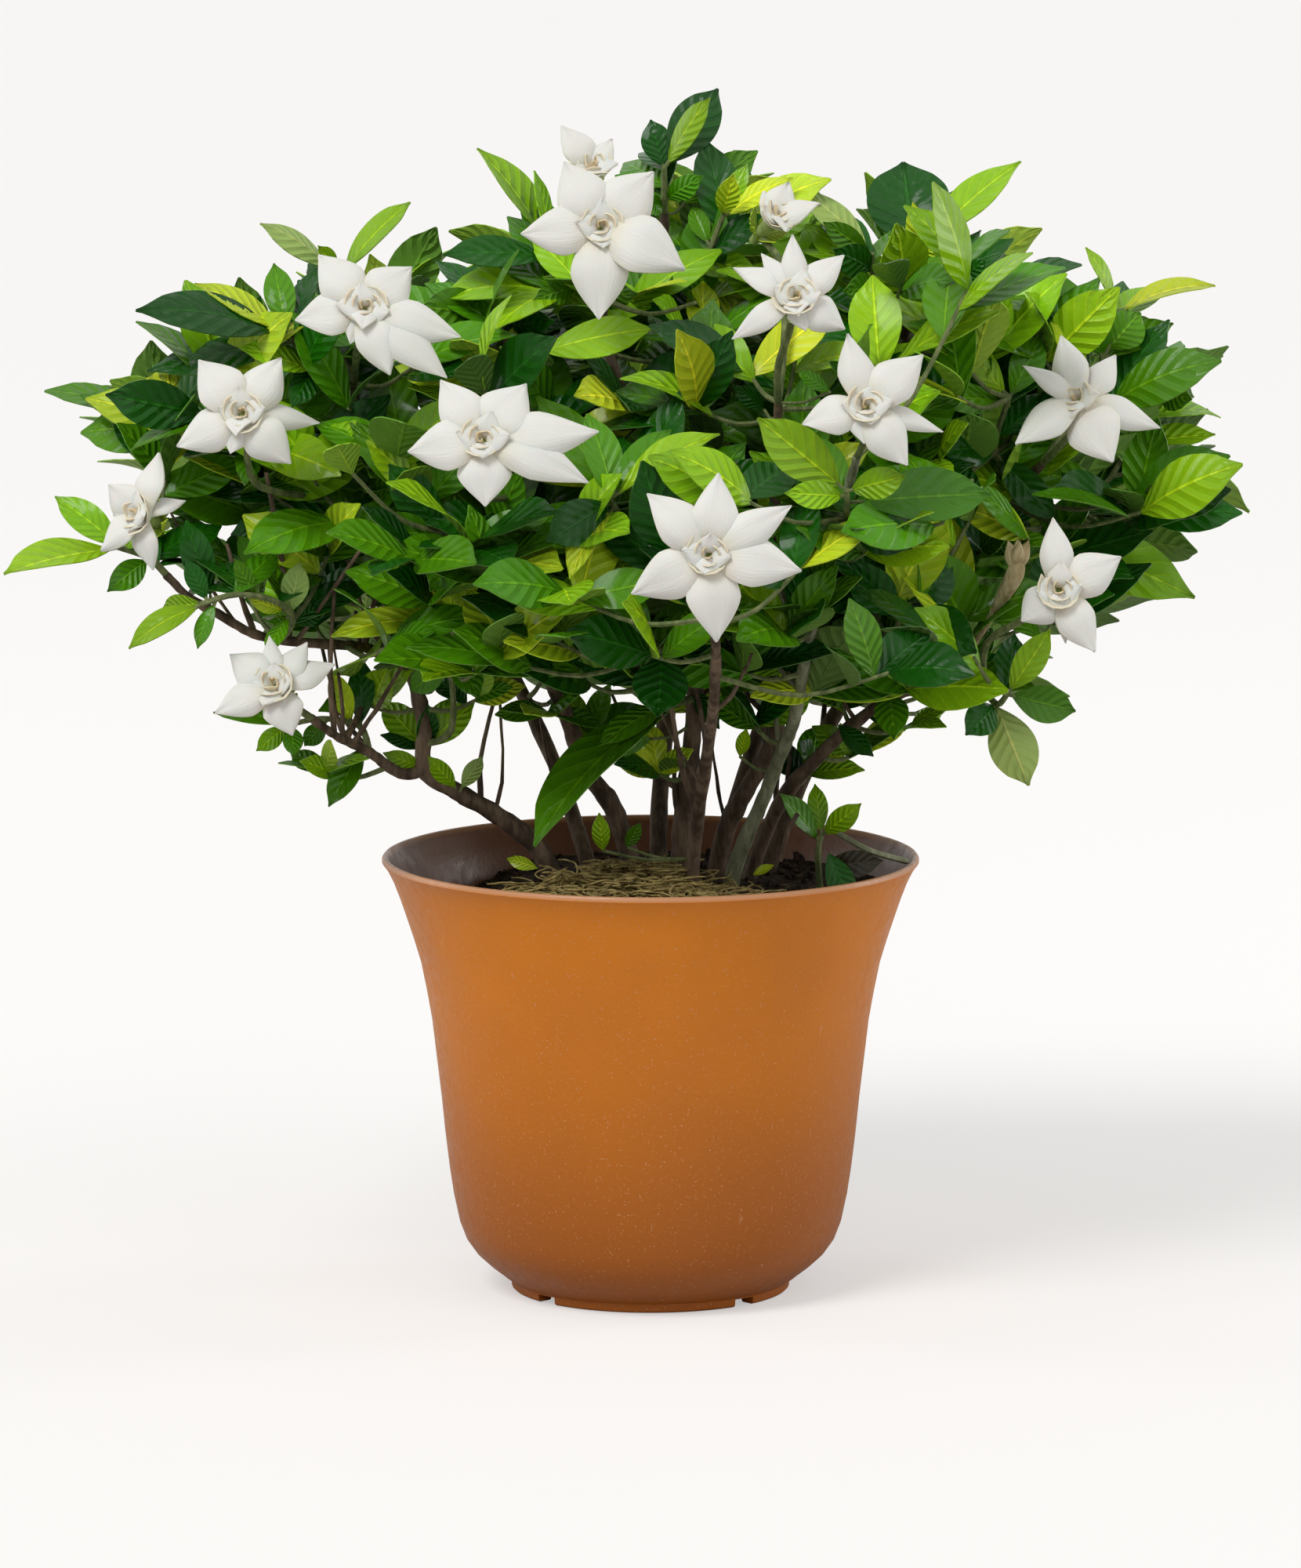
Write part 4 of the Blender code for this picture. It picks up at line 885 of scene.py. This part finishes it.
def petalPiece(foot, tip, width, front, luck, name, rollIn=0.3, bowShare=0.14):
    way = (tip - foot).normalized()
    length = (tip - foot).length
    up = (front - way * front.dot(way)).normalized()
    across = way.cross(up).normalized()
    bow = bowShare * length * luck.uniform(0.8, 1.3)
    roll = rollIn * luck.uniform(0.6, 1.4)
    wave = luck.uniform(0.02, 0.07)
    phase = luck.uniform(0, wholeTurn)
    twist = luck.uniform(-0.3, 0.3)

    def rule(u, v):
        half = 0.5 * width * petalWidthAt(u)
        turn = twist * u
        side = across * math.cos(turn) + up * math.sin(turn)
        out = up * math.cos(turn) - across * math.sin(turn)
        rise = bow * math.sin(math.pi * u ** 0.8) - roll * half * abs(v) ** 3 * (0.3 + u)
        rise += 0.22 * half * (1 - v * v) * (1 - u) + wave * width * math.sin(6 * u + phase) * v * v
        rise -= 0.035 * width * math.exp(-(v / 0.12) ** 2) * u
        return foot + way * (length * u) + side * (v * half * (1 - 0.12 * abs(v) ** 3)) + out * rise, out

    return pressed("petal", rule, bloomSettings["petalThickness"], name, petalMat)


def heartPiece(centre, front, luck, name):
    settings = bloomSettings
    sideways = front.cross(Vector((0, 0, 1))).normalized()
    upward = sideways.cross(front).normalized()
    start = luck.uniform(0, wholeTurn)

    def rule(u, v):
        turn = start + u * settings["heartTurns"] * 2 * math.pi
        reach = settings["heartRadius"] * (0.16 + 0.84 * u ** 0.8)
        share = 0.5 * (v + 1)
        flare = 1 + 0.28 * share * share * u
        spoke = sideways * math.cos(turn) + upward * math.sin(turn)
        lift = settings["heartHeight"] * (share * (0.75 + 0.25 * math.sin(3 * turn)) - 0.25) * (1 - 0.25 * u)
        return centre + spoke * (reach * flare) + front * lift, spoke

    return pressed("roll", rule, 0.4, name, heartMat)


def makeBloom(name, parent, way, heart, facing, petals):
    settings = bloomSettings
    luck = random.Random(name)
    centre = seen(heart)
    front = Vector(facing).normalized()
    back = centre - front * settings["tubeLength"]
    route = [seen(point) for point in way] + [back]
    fine = smoothLine(rooted(parent, route), 5)
    parts = [tubes([(fine, [settings["stalk"]] * len(fine))], camelName(name), twigMat, 1)]
    throat = smoothLine([back - front * 3, back, centre - front * 4, centre], 4)
    narrow, flare = settings["tube"], settings["throat"] - settings["tube"]
    wide = [narrow + flare * (i / (len(throat) - 1)) ** 1.5 for i in range(len(throat))]
    parts.append(tubes([(throat, wide)], "throat", calyxMat, 3))
    aside = front.cross(Vector((0.1, 0.2, 1))).normalized()
    for i in range(settings["sepals"]):
        spoke = Matrix.Rotation(i * 2 * math.pi / settings["sepals"] + 0.4, 3, front) @ aside
        sepalTip = back + front * 6 + spoke * 6.5
        up = (spoke - front).normalized()
        width = settings["sepalWidth"]
        parts.append(leafPiece(back - front, sepalTip, width, "Y", luck, "sepal", "plain", up))
    for x, z, depth, width in petals:
        tip = seen((x, z, heart[2] + depth))
        parts.append(petalPiece(centre - front * 1.5, tip, width * settings["widen"], front, luck, "petal"))
    for i in range(settings["innerPetals"]):
        angle = i * 2 * math.pi / settings["innerPetals"] + luck.uniform(-0.25, 0.25)
        spoke = Matrix.Rotation(angle, 3, front) @ aside
        reach = settings["innerLength"] * luck.uniform(0.75, 1.1)
        tip = centre + spoke * reach + front * luck.uniform(3.0, 5.0)
        parts.append(petalPiece(centre - front + spoke, tip, settings["innerWidth"], front, luck,
                                "innerPetal", 0.15, 0.2))
    parts.append(heartPiece(centre + front * 1.5, front, luck, "heart"))
    standFor(joinAll(parts, camelName(name)), name)


for name, (parent, way, heart, facing, petals) in bloomTable.items():
    makeBloom(name, parent, way, heart, facing, petals)


fadedBudSettings = {"parent": "stem_low_right", "petals": 4, "stalk": 1.1, "swell": 1.6, "seed": 3,
                    "way": ((91, 184, -20), (98, 196, -28), (105, 208, -34), (107, 214, -35))}


def makeFadedBud():
    settings = fadedBudSettings
    luck = random.Random(settings["seed"])
    fine = smoothLine(rooted(settings["parent"], [seen(point) for point in settings["way"]]), 5)
    count = len(fine) - 1
    radii = []
    for i in range(count + 1):
        swollen = math.sin(math.pi * min(1, max(0, (i / count - 0.55) / 0.5)))
        radii.append(settings["stalk"] + settings["swell"] * swollen)
    parts = [tubes([(fine, radii)], "fadedBud", witherMat, 3)]
    for i in range(settings["petals"]):
        tip = fine[-1] + Vector((3 * math.cos(i * 1.6), 3 * math.sin(i * 1.6), 6))
        petal = petalPiece(fine[-4], tip, 5, Vector((0.2, -1, 0.2)), luck, "witheredPetal", 0.6, 0.1)
        petal.data.materials[0] = witherMat
        parts.append(petal)
    standFor(joinAll(parts, "fadedBud"), "faded_bud")


makeFadedBud()
print("flowers ready")

# each shoot: its stem, the way of its twig, and its leaves (share along the twig, x, z, depth, width)
shootTable = {
    "shoot_left_top": ("stem_left", ((-94, 268, -26), (-106, 281, -36)), (
        (1.0, -149, 287, -14, 12), (1.0, -132, 295, -2, 6), (0.95, -109, 301, 10, 9), (0.9, -96, 300, 12, 7),
        (0.85, -146, 269.5, -4, 10), (0.5, -104, 259, -12, 8))),
    "shoot_left": ("stem_left", ((-100, 246, -16), (-118, 253, -30), (-129, 257, -34)), (
        (1.0, -158, 262.5, -10, 14), (0.95, -151, 246.5, -8, 4), (0.55, -104, 270, -8, 9),
        (0.4, -92, 264, 6, 8), (0.7, -118, 236, -12, 8))),
    "shoot_far_left": ("branch_far_left", ((-146, 215, -38), (-155, 218, -42)), (
        (1.0, -188, 210, -22, 8), (0.9, -173, 233, 6, 9), (0.5, -158, 205, -8, 8), (0.4, -140, 222, 16, 8),
        (0.6, -146, 236, 22, 7))),
    "shoot_low_left": ("branch_far_left", ((-104, 197, -42), (-109, 202, -49), (-120, 204, -55),
                                           (-131, 201, -59)), (
        (1.0, -152, 188, -4, 7), (0.98, -142, 200, 6, 7), (0.9, -132, 188, -2, 5), (0.95, -135, 214, 2, 6),
        (0.62, -121, 214.5, -2, 5), (0.3, -102, 213.5, -4, 8), (0.35, -117, 203, -6, 5),
        (0.2, -96, 200, 4, 7), (0.3, -112, 187, -8, 5))),
    "shoot_hanging": ("branch_low_left", ((-85, 166, -16), (-96, 168, -17), (-106, 166, -18)), (
        (0.1, -94, 142, -10, 8), (0.35, -93, 182, -2, 7), (0.25, -84, 186, 4, 8), (0.6, -101, 160, 2, 6),
        (1.0, -115, 158.5, -4, 6), (0.95, -104, 157, -8, 6), (1.0, -127.5, 170, 6, 5))),
    "shoot_over_left": ("stem_left", ((-90, 280, -14), (-90, 298, -14)), (
        (1.0, -113, 312.5, -4, 6), (1.0, -69.5, 319, 4, 7), (0.95, -96, 306, -10, 5), (0.6, -70, 292, 16, 9),
        (0.7, -102, 295, 14, 9))),
    "shoot_arch_left": ("stem_left", ((-82, 225, -20), (-86, 226, -30)), (
        (1.0, -118, 216, -30, 13), (0.9, -116, 226, 4, 9), (0.8, -104, 240, 4, 9), (0.6, -70, 240, -16, 8))),
    "shoot_mid_left": ("stem_mid_left", ((-50, 212, -44), (-60, 222, -54)), (
        (1.0, -76, 242, -6, 12), (1.0, -84, 222, -8, 12), (0.7, -64, 205, -14, 12), (0.4, -46, 228, -4, 11))),
    "shoot_behind_left": ("stem_mid_left", ((-44, 283, -20), (-45, 287, -18)), (
        (1.0, -67, 288, -10, 13), (1.0, -50, 300, 4, 9), (0.9, -41, 303, -2, 5), (0.6, -28, 284, -14, 9),
        (0.8, -62, 302, 12, 7))),
    "shoot_top_left": ("stem_centre", ((-22, 296, -24), (-29, 305, -18)), (
        (0.9, -60, 303.5, -8, 9), (1.0, -50, 334.5, 6, 7), (1.0, -33.5, 328, 2, 4), (0.5, -34, 290, -6, 7),
        (0.3, -4, 292, -8, 8))),
    "shoot_top": ("stem_top", ((4, 322, 2), (4, 329, 0)), (
        (1.0, 19.5, 352, 8, 14), (1.0, 17, 349, -6, 7), (0.95, 0, 343, 4, 9), (0.3, 15, 326.5, -8, 7),
        (0.2, -2, 318, -6, 6))),
    "shoot_top_yellow": ("stem_top", ((14, 300, -2), (21, 315, -8)), (
        (1.0, 28, 330, 3, 6), (1.0, 41, 326, -4, 6), (1.0, 24, 327, -8, 7), (0.7, 12, 318, 6, 6),
        (0.5, 35.5, 314.5, -12, 7), (0.3, 31, 299, -12, 8), (0.2, -2, 304, -10, 7))),
    "shoot_right_top": ("stem_top_right", ((76, 301, 2), (77, 304, 0)), (
        (0.8, 73, 331, 16, 24), (1.0, 76, 319, -4, 6), (1.0, 107, 331, 4, 9), (0.9, 69, 309, -6, 4),
        (0.8, 85, 308, -6, 5), (0.6, 93, 325.5, 18, 7))),
    "shoot_right_crest": ("stem_top_right", ((66, 292, -6), (64, 304, -14)), (
        (1.0, 43, 322.5, 8, 8), (1.0, 50, 313, -4, 7), (0.8, 53, 305, -10, 10), (0.6, 56, 293, -12, 10),
        (0.5, 84, 292, -10, 9))),
    "shoot_curly": ("stem_top_right", ((84, 286, -4), (88, 296, -8)), (
        (1.0, 89, 308, -6, 7), (1.0, 97, 302, -2, 8), (0.9, 95.5, 311, 8, 5), (0.5, 112, 283, -6, 9),
        (0.3, 92, 276, -14, 10))),
    "shoot_right_mid": ("stem_right", ((100, 246, -10), (104, 262, -18)), (
        (1.0, 88, 281, 2, 9), (1.0, 113, 280, 6, 10), (0.95, 80, 262, -14, 9), (0.5, 84, 246, -20, 11),
        (0.4, 118, 226, -6, 10))),
    "shoot_far_right_top": ("stem_right", ((126, 262, -6), (132, 276, -6), (135, 288, -4)), (
        (0.7, 126, 290, -4, 11), (0.75, 142, 287, 2, 12), (0.7, 151.5, 284, 8, 8), (1.0, 126, 306, 2, 4),
        (1.0, 163.5, 295, 8, 5), (0.6, 106, 300, 10, 8), (0.5, 116, 284, -8, 7))),
    "shoot_far_right": ("stem_right", ((112, 224, 16), (124, 230, 22), (134, 240, 24), (141, 254, 22),
                                       (148, 266, 20)), (
        (1.0, 145, 280, 0, 12), (1.0, 166, 275, 6, 6), (0.97, 157, 262, -8, 9), (0.75, 164, 252, 2, 7),
        (0.85, 138, 272, -4, 8), (0.55, 174, 230, 32, 14), (0.45, 148, 230, 2, 5),
        (0.2, 158.5, 204, -6, 17))),
    "shoot_lower_right": ("stem_low_right", ((101, 172, -30), (104, 175, -34)), (
        (1.0, 116.5, 194, -2, 9), (0.9, 106, 193, 6, 9), (1.0, 124, 170, 2, 11), (0.5, 110.5, 148, -6, 14),
        (0.3, 87, 184, -10, 10), (0.6, 92, 163, -8, 10))),
    "shoot_inner_right": ("stem_low_right", ((66, 180, -20), (70, 190, -30), (74, 200, -40)), (
        (1.0, 95, 187, -10, 16), (1.0, 88, 213, 2, 13), (0.4, 48, 190, -6, 7), (0.3, 80, 186, -12, 10),
        (0.1, 71, 162, -14, 10), (0.9, 57, 214, -6, 12))),
    "shoot_centre_right": ("stem_grey", ((57, 226, -76), (57, 234, -84)), (
        (1.0, 31, 255, -2, 14), (1.0, 74, 238, -6, 9), (0.9, 39, 233, -8, 8), (0.8, 99, 233, 12, 15),
        (0.5, 76, 217, -8, 12))),
    "shoot_yellow": ("stem_left", ((-58, 165, -14), (-58, 184, -24), (-57, 198, -32)), (
        (1.0, -80, 208, -4, 7), (1.0, -60, 211, 4, 7), (1.0, -48, 214, -4, 5), (0.97, -93, 192, -8, 8),
        (0.95, -23, 193, -8, 10), (0.8, -50, 174, -10, 9), (0.7, -70, 176, 6, 8))),
    "shoot_centre": ("stem_centre", ((-4, 222, -60), (-12, 232, -82)), (
        (1.0, 20, 250.5, 0, 7), (1.0, 6, 252, 10, 9), (0.95, -30, 219, -6, 13), (0.9, -23.5, 208, -12, 6),
        (0.7, -33, 262, 12, 13), (0.6, 9, 264, 6, 12), (0.5, -10, 205, -14, 8))),
    "shoot_low_centre": ("stem_centre", ((4, 172, -26), (-4, 176, -40), (4, 188, -52)), (
        (1.0, 2, 168, -12, 16), (0.6, -12, 188, -8, 9), (0.6, -18, 191, -2, 8), (0.2, -34, 130, -28, 12),
        (0.3, -15, 160, -10, 7))),
    "pot_shoot": (None, ((50, 112, -4), (49, 128, -8), (50, 134, -8)), (
        (1.0, 61.5, 143, -4, 7), (1.0, 48, 149, 4, 6), (0.9, 38, 146, -4, 6))),
    "shoot_back_left": ("stem_back_left", ((-88, 250, 78), (-96, 254, 92)), (
        (1.0, -136, 262, 4, 16), (1.0, -98, 276, 20, 15), (0.9, -70, 268, 24, 15), (0.8, -120, 232, 14, 15),
        (0.6, -86, 226, 26, 15))),
    "shoot_back_right": ("stem_right", ((92, 228, 30), (100, 246, 66), (104, 256, 90)), (
        (1.0, 138, 272, 4, 16), (1.0, 106, 286, 14, 15), (0.9, 78, 266, 26, 15), (0.8, 128, 244, 16, 15),
        (0.6, 92, 230, 28, 15))),
    "shoot_back_top": ("stem_top", ((6, 262, 60), (4, 276, 84)), (
        (1.0, -18, 300, 6, 14), (1.0, 24, 304, 8, 15), (0.9, -30, 268, 22, 16), (0.9, 34, 272, 22, 16),
        (0.6, 4, 250, 36, 16))),
    "shoot_back_low": ("stem_back_left", ((-36, 190, 64), (-10, 198, 90), (14, 202, 104)), (
        (1.0, 2, 214, 12, 15), (1.0, 34, 218, 16, 15), (0.8, 2, 190, 12, 15), (0.6, 52, 200, 20, 15),
        (0.9, 18, 182, 20, 15))),
}
leafTones = {
    "shoot_left_top": "GYMGDD", "shoot_left": "GMMDM", "shoot_far_left": "LLMDL",
    "shoot_low_left": "LLMDMPYDM", "shoot_hanging": "MYDMLMM", "shoot_over_left": "PLLDM",
    "shoot_arch_left": "MDMM", "shoot_mid_left": "DMMD", "shoot_behind_left": "MLLDD",
    "shoot_top_left": "DLLMM", "shoot_top": "GLGMM", "shoot_top_yellow": "LYYMGLM",
    "shoot_right_top": "GYLYYD", "shoot_right_crest": "PMDMM", "shoot_curly": "LDDBM",
    "shoot_right_mid": "LMMDD", "shoot_far_right_top": "MMMLYGY", "shoot_far_right": "MMMLDLDL",
    "shoot_lower_right": "LDMPDD", "shoot_inner_right": "DDDDMD", "shoot_centre_right": "LLLMG",
    "shoot_yellow": "YYYYDMM", "shoot_centre": "LMDYMDL", "shoot_low_centre": "DPLMM", "pot_shoot": "LLM",
}
# small leaves on stalks of their own: (foot, tip, tone)
extraLeaves = {
    "shoot_low_centre": (((-14, 129, -20), (-15, 140, -24), "L"), ((-7, 130, -20), (-3, 137, -24), "M"),
                         ((0, 162, -20), (-16, 159, -26), "M"), ((13, 176, -14), (20, 165, -20), "D"),
                         ((33, 181, -16), (34, 190, -20), "L"), ((26, 157, -16), (28, 165, -20), "L")),
    "shoot_yellow": (((-57, 148, -6), (-65, 157, -10), "L"), ((-55, 148, -6), (-49, 157, -10), "P"),
                     ((-67, 154, -8), (-78, 158, -12), "L")),
    "shoot_centre": (((5, 230, -30), (7, 243, -36), "M"), ((-10, 229, -60), (-4, 224, -66), "P"),
                     ((33, 258, -50), (24, 265, -54), "D")),
    "shoot_centre_right": (((46, 207, -50), (54, 215, -60), "M"), ((52, 263, -68), (43, 269, -66), "M"),
                           ((55, 166, -10), (65, 157, -16), "D"), ((103, 213, -10), (106, 228, -14), "M")),
    "shoot_left": (((-87, 237, -10), (-92, 236, -14), "Y"), ((-108, 228, -20), (-122, 222, -24), "D")),
    "shoot_far_left": (((-128, 204, -42), (-135, 226, -40), "D"),),
    "shoot_right_crest": (((72, 290, 0), (61, 289, -12), "Y"),),
    "shoot_top": (((10, 319, 4), (31, 334, 8), "M"),),
}
shootSettings = {"twig": 1.0, "petiole": 0.55, "stalk": 0.5, "smallWidth": 0.42, "backTones": "DMDMD",
                 "fillSpacing": 7.0, "fillLength": (20.0, 32.0), "fillWidth": 0.38, "fillFloor": 192.0,
                 "fillEdge": (172, 340, 140)}
# outline of the leafy crown from the front: (x, lowest z, highest z)
crownOutline = (
    (-146, 250, 266), (-137, 220, 276), (-121, 204, 286), (-98, 190, 294), (-75, 182, 297), (-53, 176, 300),
    (-30, 174, 308), (-7, 173, 312), (16, 170, 322), (39, 170, 320), (62, 168, 318), (85, 172, 312),
    (108, 182, 288), (130, 204, 281), (149, 232, 270))
crownMiddle = -1.9
# a layer is a share of the crown's depth, and "edge" is (half width, top, half depth) for leaf tips
crownSettings = {"columns": 23.0, "rows": 19.0, "layers": (-0.40, -0.08, 0.34, 0.78, -0.72), "depth": 104.0,
                 "halfWidth": 172, "shoulder": 240, "roundTop": 90, "frontShare": -0.6, "frontSkipped": 0.45,
                 "bloomDepth": 26, "bloomRoom": 31, "edge": (176, 345, 142), "leaves": 5, "turnStep": 2.4,
                 "leafLength": (22.0, 36.0), "leafWidth": (0.42, 0.56), "seed": 12}
crownTwigs = {}


def crownLimits(x):
    for (a, lowA, highA), (b, lowB, highB) in zip(crownOutline, crownOutline[1:]):
        if a <= x <= b:
            share = (x - a) / (b - a)
            return lowA + (lowB - lowA) * share, highA + (highB - highA) * share
    return None


def hidesBloom(x, z, depth):
    for _, _, heart, _, _ in bloomTable.values():
        aside = math.hypot(x - heart[0], z - heart[1])
        if depth < heart[2] + crownSettings["bloomDepth"] and aside < crownSettings["bloomRoom"]:
            return True
    return False


# whorls of smaller leaves low among the stems
lowWhorls = (
    (-66, 160, -6), (-50, 174, -14), (-30, 170, -6), (-42, 186, -20), (2, 152, -14), (-18, 164, 6),
    (12, 172, 10), (30, 166, -20), (40, 182, -30), (56, 172, -4), (60, 158, 6), (46, 152, 14), (76, 166, -4),
    (92, 180, 4), (-96, 152, -20), (-82, 172, -8), (-8, 178, -34), (24, 184, 18), (-60, 182, 12),
    (68, 184, 22), (-24, 190, 22), (4, 190, 30))
lowShare = -1.0  # marks a low whorl's layer
woodPoints = [point for line in stemLines.values() for point in line if point.z > 122]


def sourceFor(wood, spot):
    # the nearest point of wood, where wood higher than the spot counts as further off
    return min(wood, key=lambda point: (point - spot).length + 2.0 * max(0.0, point.z - spot.z))


def planCrown():
    # side twigs that fill the crown, each given to the shoot that it stands nearest to
    settings = crownSettings
    luck = random.Random(settings["seed"])
    routes = {}
    for name, (_, way, _) in shootTable.items():
        if name != "pot_shoot":
            routes[name] = [seen(point) for point in way]
            crownTwigs[name] = []

    def plan(spot, wood, share):
        owner = min(routes, key=lambda name: min((point - spot).length for point in routes[name]))
        crownTwigs[owner].append((sourceFor(wood, spot), spot, share))

    wood = [point for line in stemLines.values() for point in line if point.z > 165]
    wood += [point for way in routes.values() for point in way]
    x = crownOutline[0][0] + 6
    while x < crownOutline[-1][0]:
        low, high = crownLimits(x)
        z = low + 9
        while z < high - 9:
            for share in settings["layers"]:
                spotX, spotZ = x + luck.uniform(-8, 8), z + luck.uniform(-7, 7)
                top = 1 - max(0.0, (z - settings["shoulder"]) / settings["roundTop"]) ** 2
                wide = math.sqrt(max(0.02, 1 - (spotX / settings["halfWidth"]) ** 2))
                deep = settings["depth"] * wide * math.sqrt(max(0.1, top))
                depth = (share + luck.uniform(-0.14, 0.14)) * deep
                limits = crownLimits(spotX)
                if limits is None or hidesBloom(spotX, spotZ, depth):
                    continue
                if share < settings["frontShare"] and luck.random() < settings["frontSkipped"]:
                    continue
                spotZ = max(limits[0] + 6, min(limits[1] - 12, spotZ))
                plan(seen((spotX, spotZ, depth)), wood, share)
            z += settings["rows"]
        x += settings["columns"]
    for point in lowWhorls:
        plan(seen(point), woodPoints, lowShare)


def fillCrown(name, luck, parts, ways):
    settings = crownSettings
    halfWidth, top, halfDepth = settings["edge"]
    for source, spot, share in crownTwigs.get(name, ()):
        middle = source.lerp(spot, 0.5) - Vector((0, 0, 0.12 * (spot - source).length))
        line = smoothLine([source, middle, spot], 4)
        ways.append((line, [0.9 - 0.35 * i / 8 for i in range(9)]))
        start = luck.uniform(0, wholeTurn)
        heading = (spot - middle).normalized()
        facing = -1 if share < 0.25 else 1
        for i in range(settings["leaves"]):
            turn = start + i * settings["turnStep"]
            way = Vector((math.cos(turn), 0.55 * math.sin(turn) + 0.25 * facing, luck.uniform(-0.15, 0.75)))
            way = (way.normalized() + 0.5 * heading).normalized()
            length = luck.uniform(*settings["leafLength"]) * (0.55 if share == lowShare else 1.0)
            foot = line[-1 - (i % 3)]
            tip = foot + way * length
            if abs(tip.x - crownMiddle) > halfWidth or tip.z > top or abs(tip.y) > halfDepth:
                continue
            # a tip further back looks higher from the camera
            if share > lowShare and hidesBloom(tip.x, tip.z + tip.y * 0.15, tip.y / layout["crownDepth"] + 8):
                continue
            up = Vector((luck.uniform(-0.35, 0.35), facing * luck.uniform(0.1, 1.0), luck.uniform(0.35, 1.0)))
            up = (up - way * up.dot(way)).normalized()
            tones = "MLMDLMGY" if share < -0.3 else "DMMLDM"
            tone = luck.choice(tones if tip.z < 290 else "LMLYMD")
            width = length * luck.uniform(*settings["leafWidth"])
            parts.append(leafPiece(foot, tip, width, tone, luck, "fillLeaf", "plain", up))


def backFill(route, luck, parts):
    # smaller leaves that grow to the back and sides of a twig and fill the crown
    settings = shootSettings
    length = sum((b - a).length for a, b in zip(route, route[1:]))
    halfWidth, top, back = settings["fillEdge"]
    for _ in range(max(5, int(length / settings["fillSpacing"]) + 3)):
        foot = along(route, luck.uniform(0.1, 0.95))
        if foot.z < settings["fillFloor"]:
            continue
        way = Vector((luck.uniform(-1, 1), luck.uniform(0.25, 1.2), luck.uniform(-0.25, 0.8))).normalized()
        length = luck.uniform(*settings["fillLength"])
        tip = foot + way * length
        if abs(tip.x - crownMiddle) > halfWidth or tip.z > top or tip.y > back:
            continue
        lean = Vector((luck.uniform(-0.5, 0.5), luck.uniform(-0.5, 0.5), 0))
        up = (Vector((0, -0.35, 1)) + lean).normalized()
        up = (up - way * up.dot(way)).normalized()
        tone = luck.choice("DDMMML")
        width = length * settings["fillWidth"]
        parts.append(leafPiece(foot, tip, width, tone, luck, "fillLeaf", "plain", up))


def makeShoot(name, parent, way, leaves):
    luck = random.Random(name)
    settings = shootSettings
    route = [seen(point) for point in way]
    if parent is not None:
        route = rooted(parent, route)
    fine = smoothLine(route, 4)
    count = len(fine) - 1
    ways = [(fine, [settings["twig"] * (1.15 - 0.35 * i / count) for i in range(count + 1)])]
    parts = []
    tones = leafTones.get(name, settings["backTones"])
    for tone, (share, x, z, depth, width) in zip(tones, leaves):
        foot = along(route, min(share, 0.985))
        tip = seen((x, z, foot.y / layout["crownDepth"] + depth))
        start = foot.lerp(tip, 0.07)
        ways.append(([foot, start, foot.lerp(tip, 0.12)], [settings["petiole"]] * 3))
        parts.append(leafPiece(start, tip, width, tone, luck, "leaf"))
    for foot, tip, tone in extraLeaves.get(name, ()):
        a, b = seen(foot), seen(tip)
        source = min(woodPoints, key=lambda point: (point - a).length)
        stalk = smoothLine([source, source.lerp(a, 0.5) - Vector((0, 0, 1.5)), a], 3)
        ways.append((stalk, [settings["stalk"]] * len(stalk)))
        width = settings["smallWidth"] * (b - a).length
        parts.append(leafPiece(a, b, width, tone, luck, "smallLeaf", "plain"))
    fillCrown(name, luck, parts, ways)
    if name != "pot_shoot":
        backFill(route, luck, parts)
    parts.insert(0, tubes(ways, camelName(name), twigMat, 1))
    standFor(joinAll(parts, camelName(name)), name)


planCrown()
for name, (parent, way, leaves) in shootTable.items():
    makeShoot(name, parent, way, leaves)
print("shoots ready")

# what lies on the mix: leaves (foot, tip, width, tone, blank) and twigs (way, radius, bark)
litterLeaves = (((52, 128, -33), (59, 112.5, -36), 8, "D", "fine"),
                ((50, 124, -30), (68, 126, -30), 8, "B", "fine"),
                ((-33, 124, -6), (-42, 127, -4), 4, "Y", "plain"),
                ((30, 122, -8), (36, 125, -8), 2.5, "Y", "plain"))
litterTwigs = ((((55, 134, -20), (64, 129, -22), (75, 126, -10)), 0.9, greyBarkMat),
               (((38, 126, -20), (40, 134, -22), (43, 140, -22)), 0.7, barkMat))


def makeFallenLeaf():
    luck = random.Random(4)
    parts = [leafPiece(seen(foot), seen(tip), width, tone, luck, "fallenLeaf", kind)
             for foot, tip, width, tone, kind in litterLeaves]
    for way, radius, finish in litterTwigs:
        line = smoothLine([seen(point) for point in way], 6)
        parts.append(tubes([(line, [radius] * len(line))], "litterTwig", finish, 1))
    standFor(joinAll(parts, "fallenLeaf"), "fallen_leaf")


makeFallenLeaf()
for spare in blanks.values():
    bpy.data.objects.remove(spare)
print("fallen leaf ready")
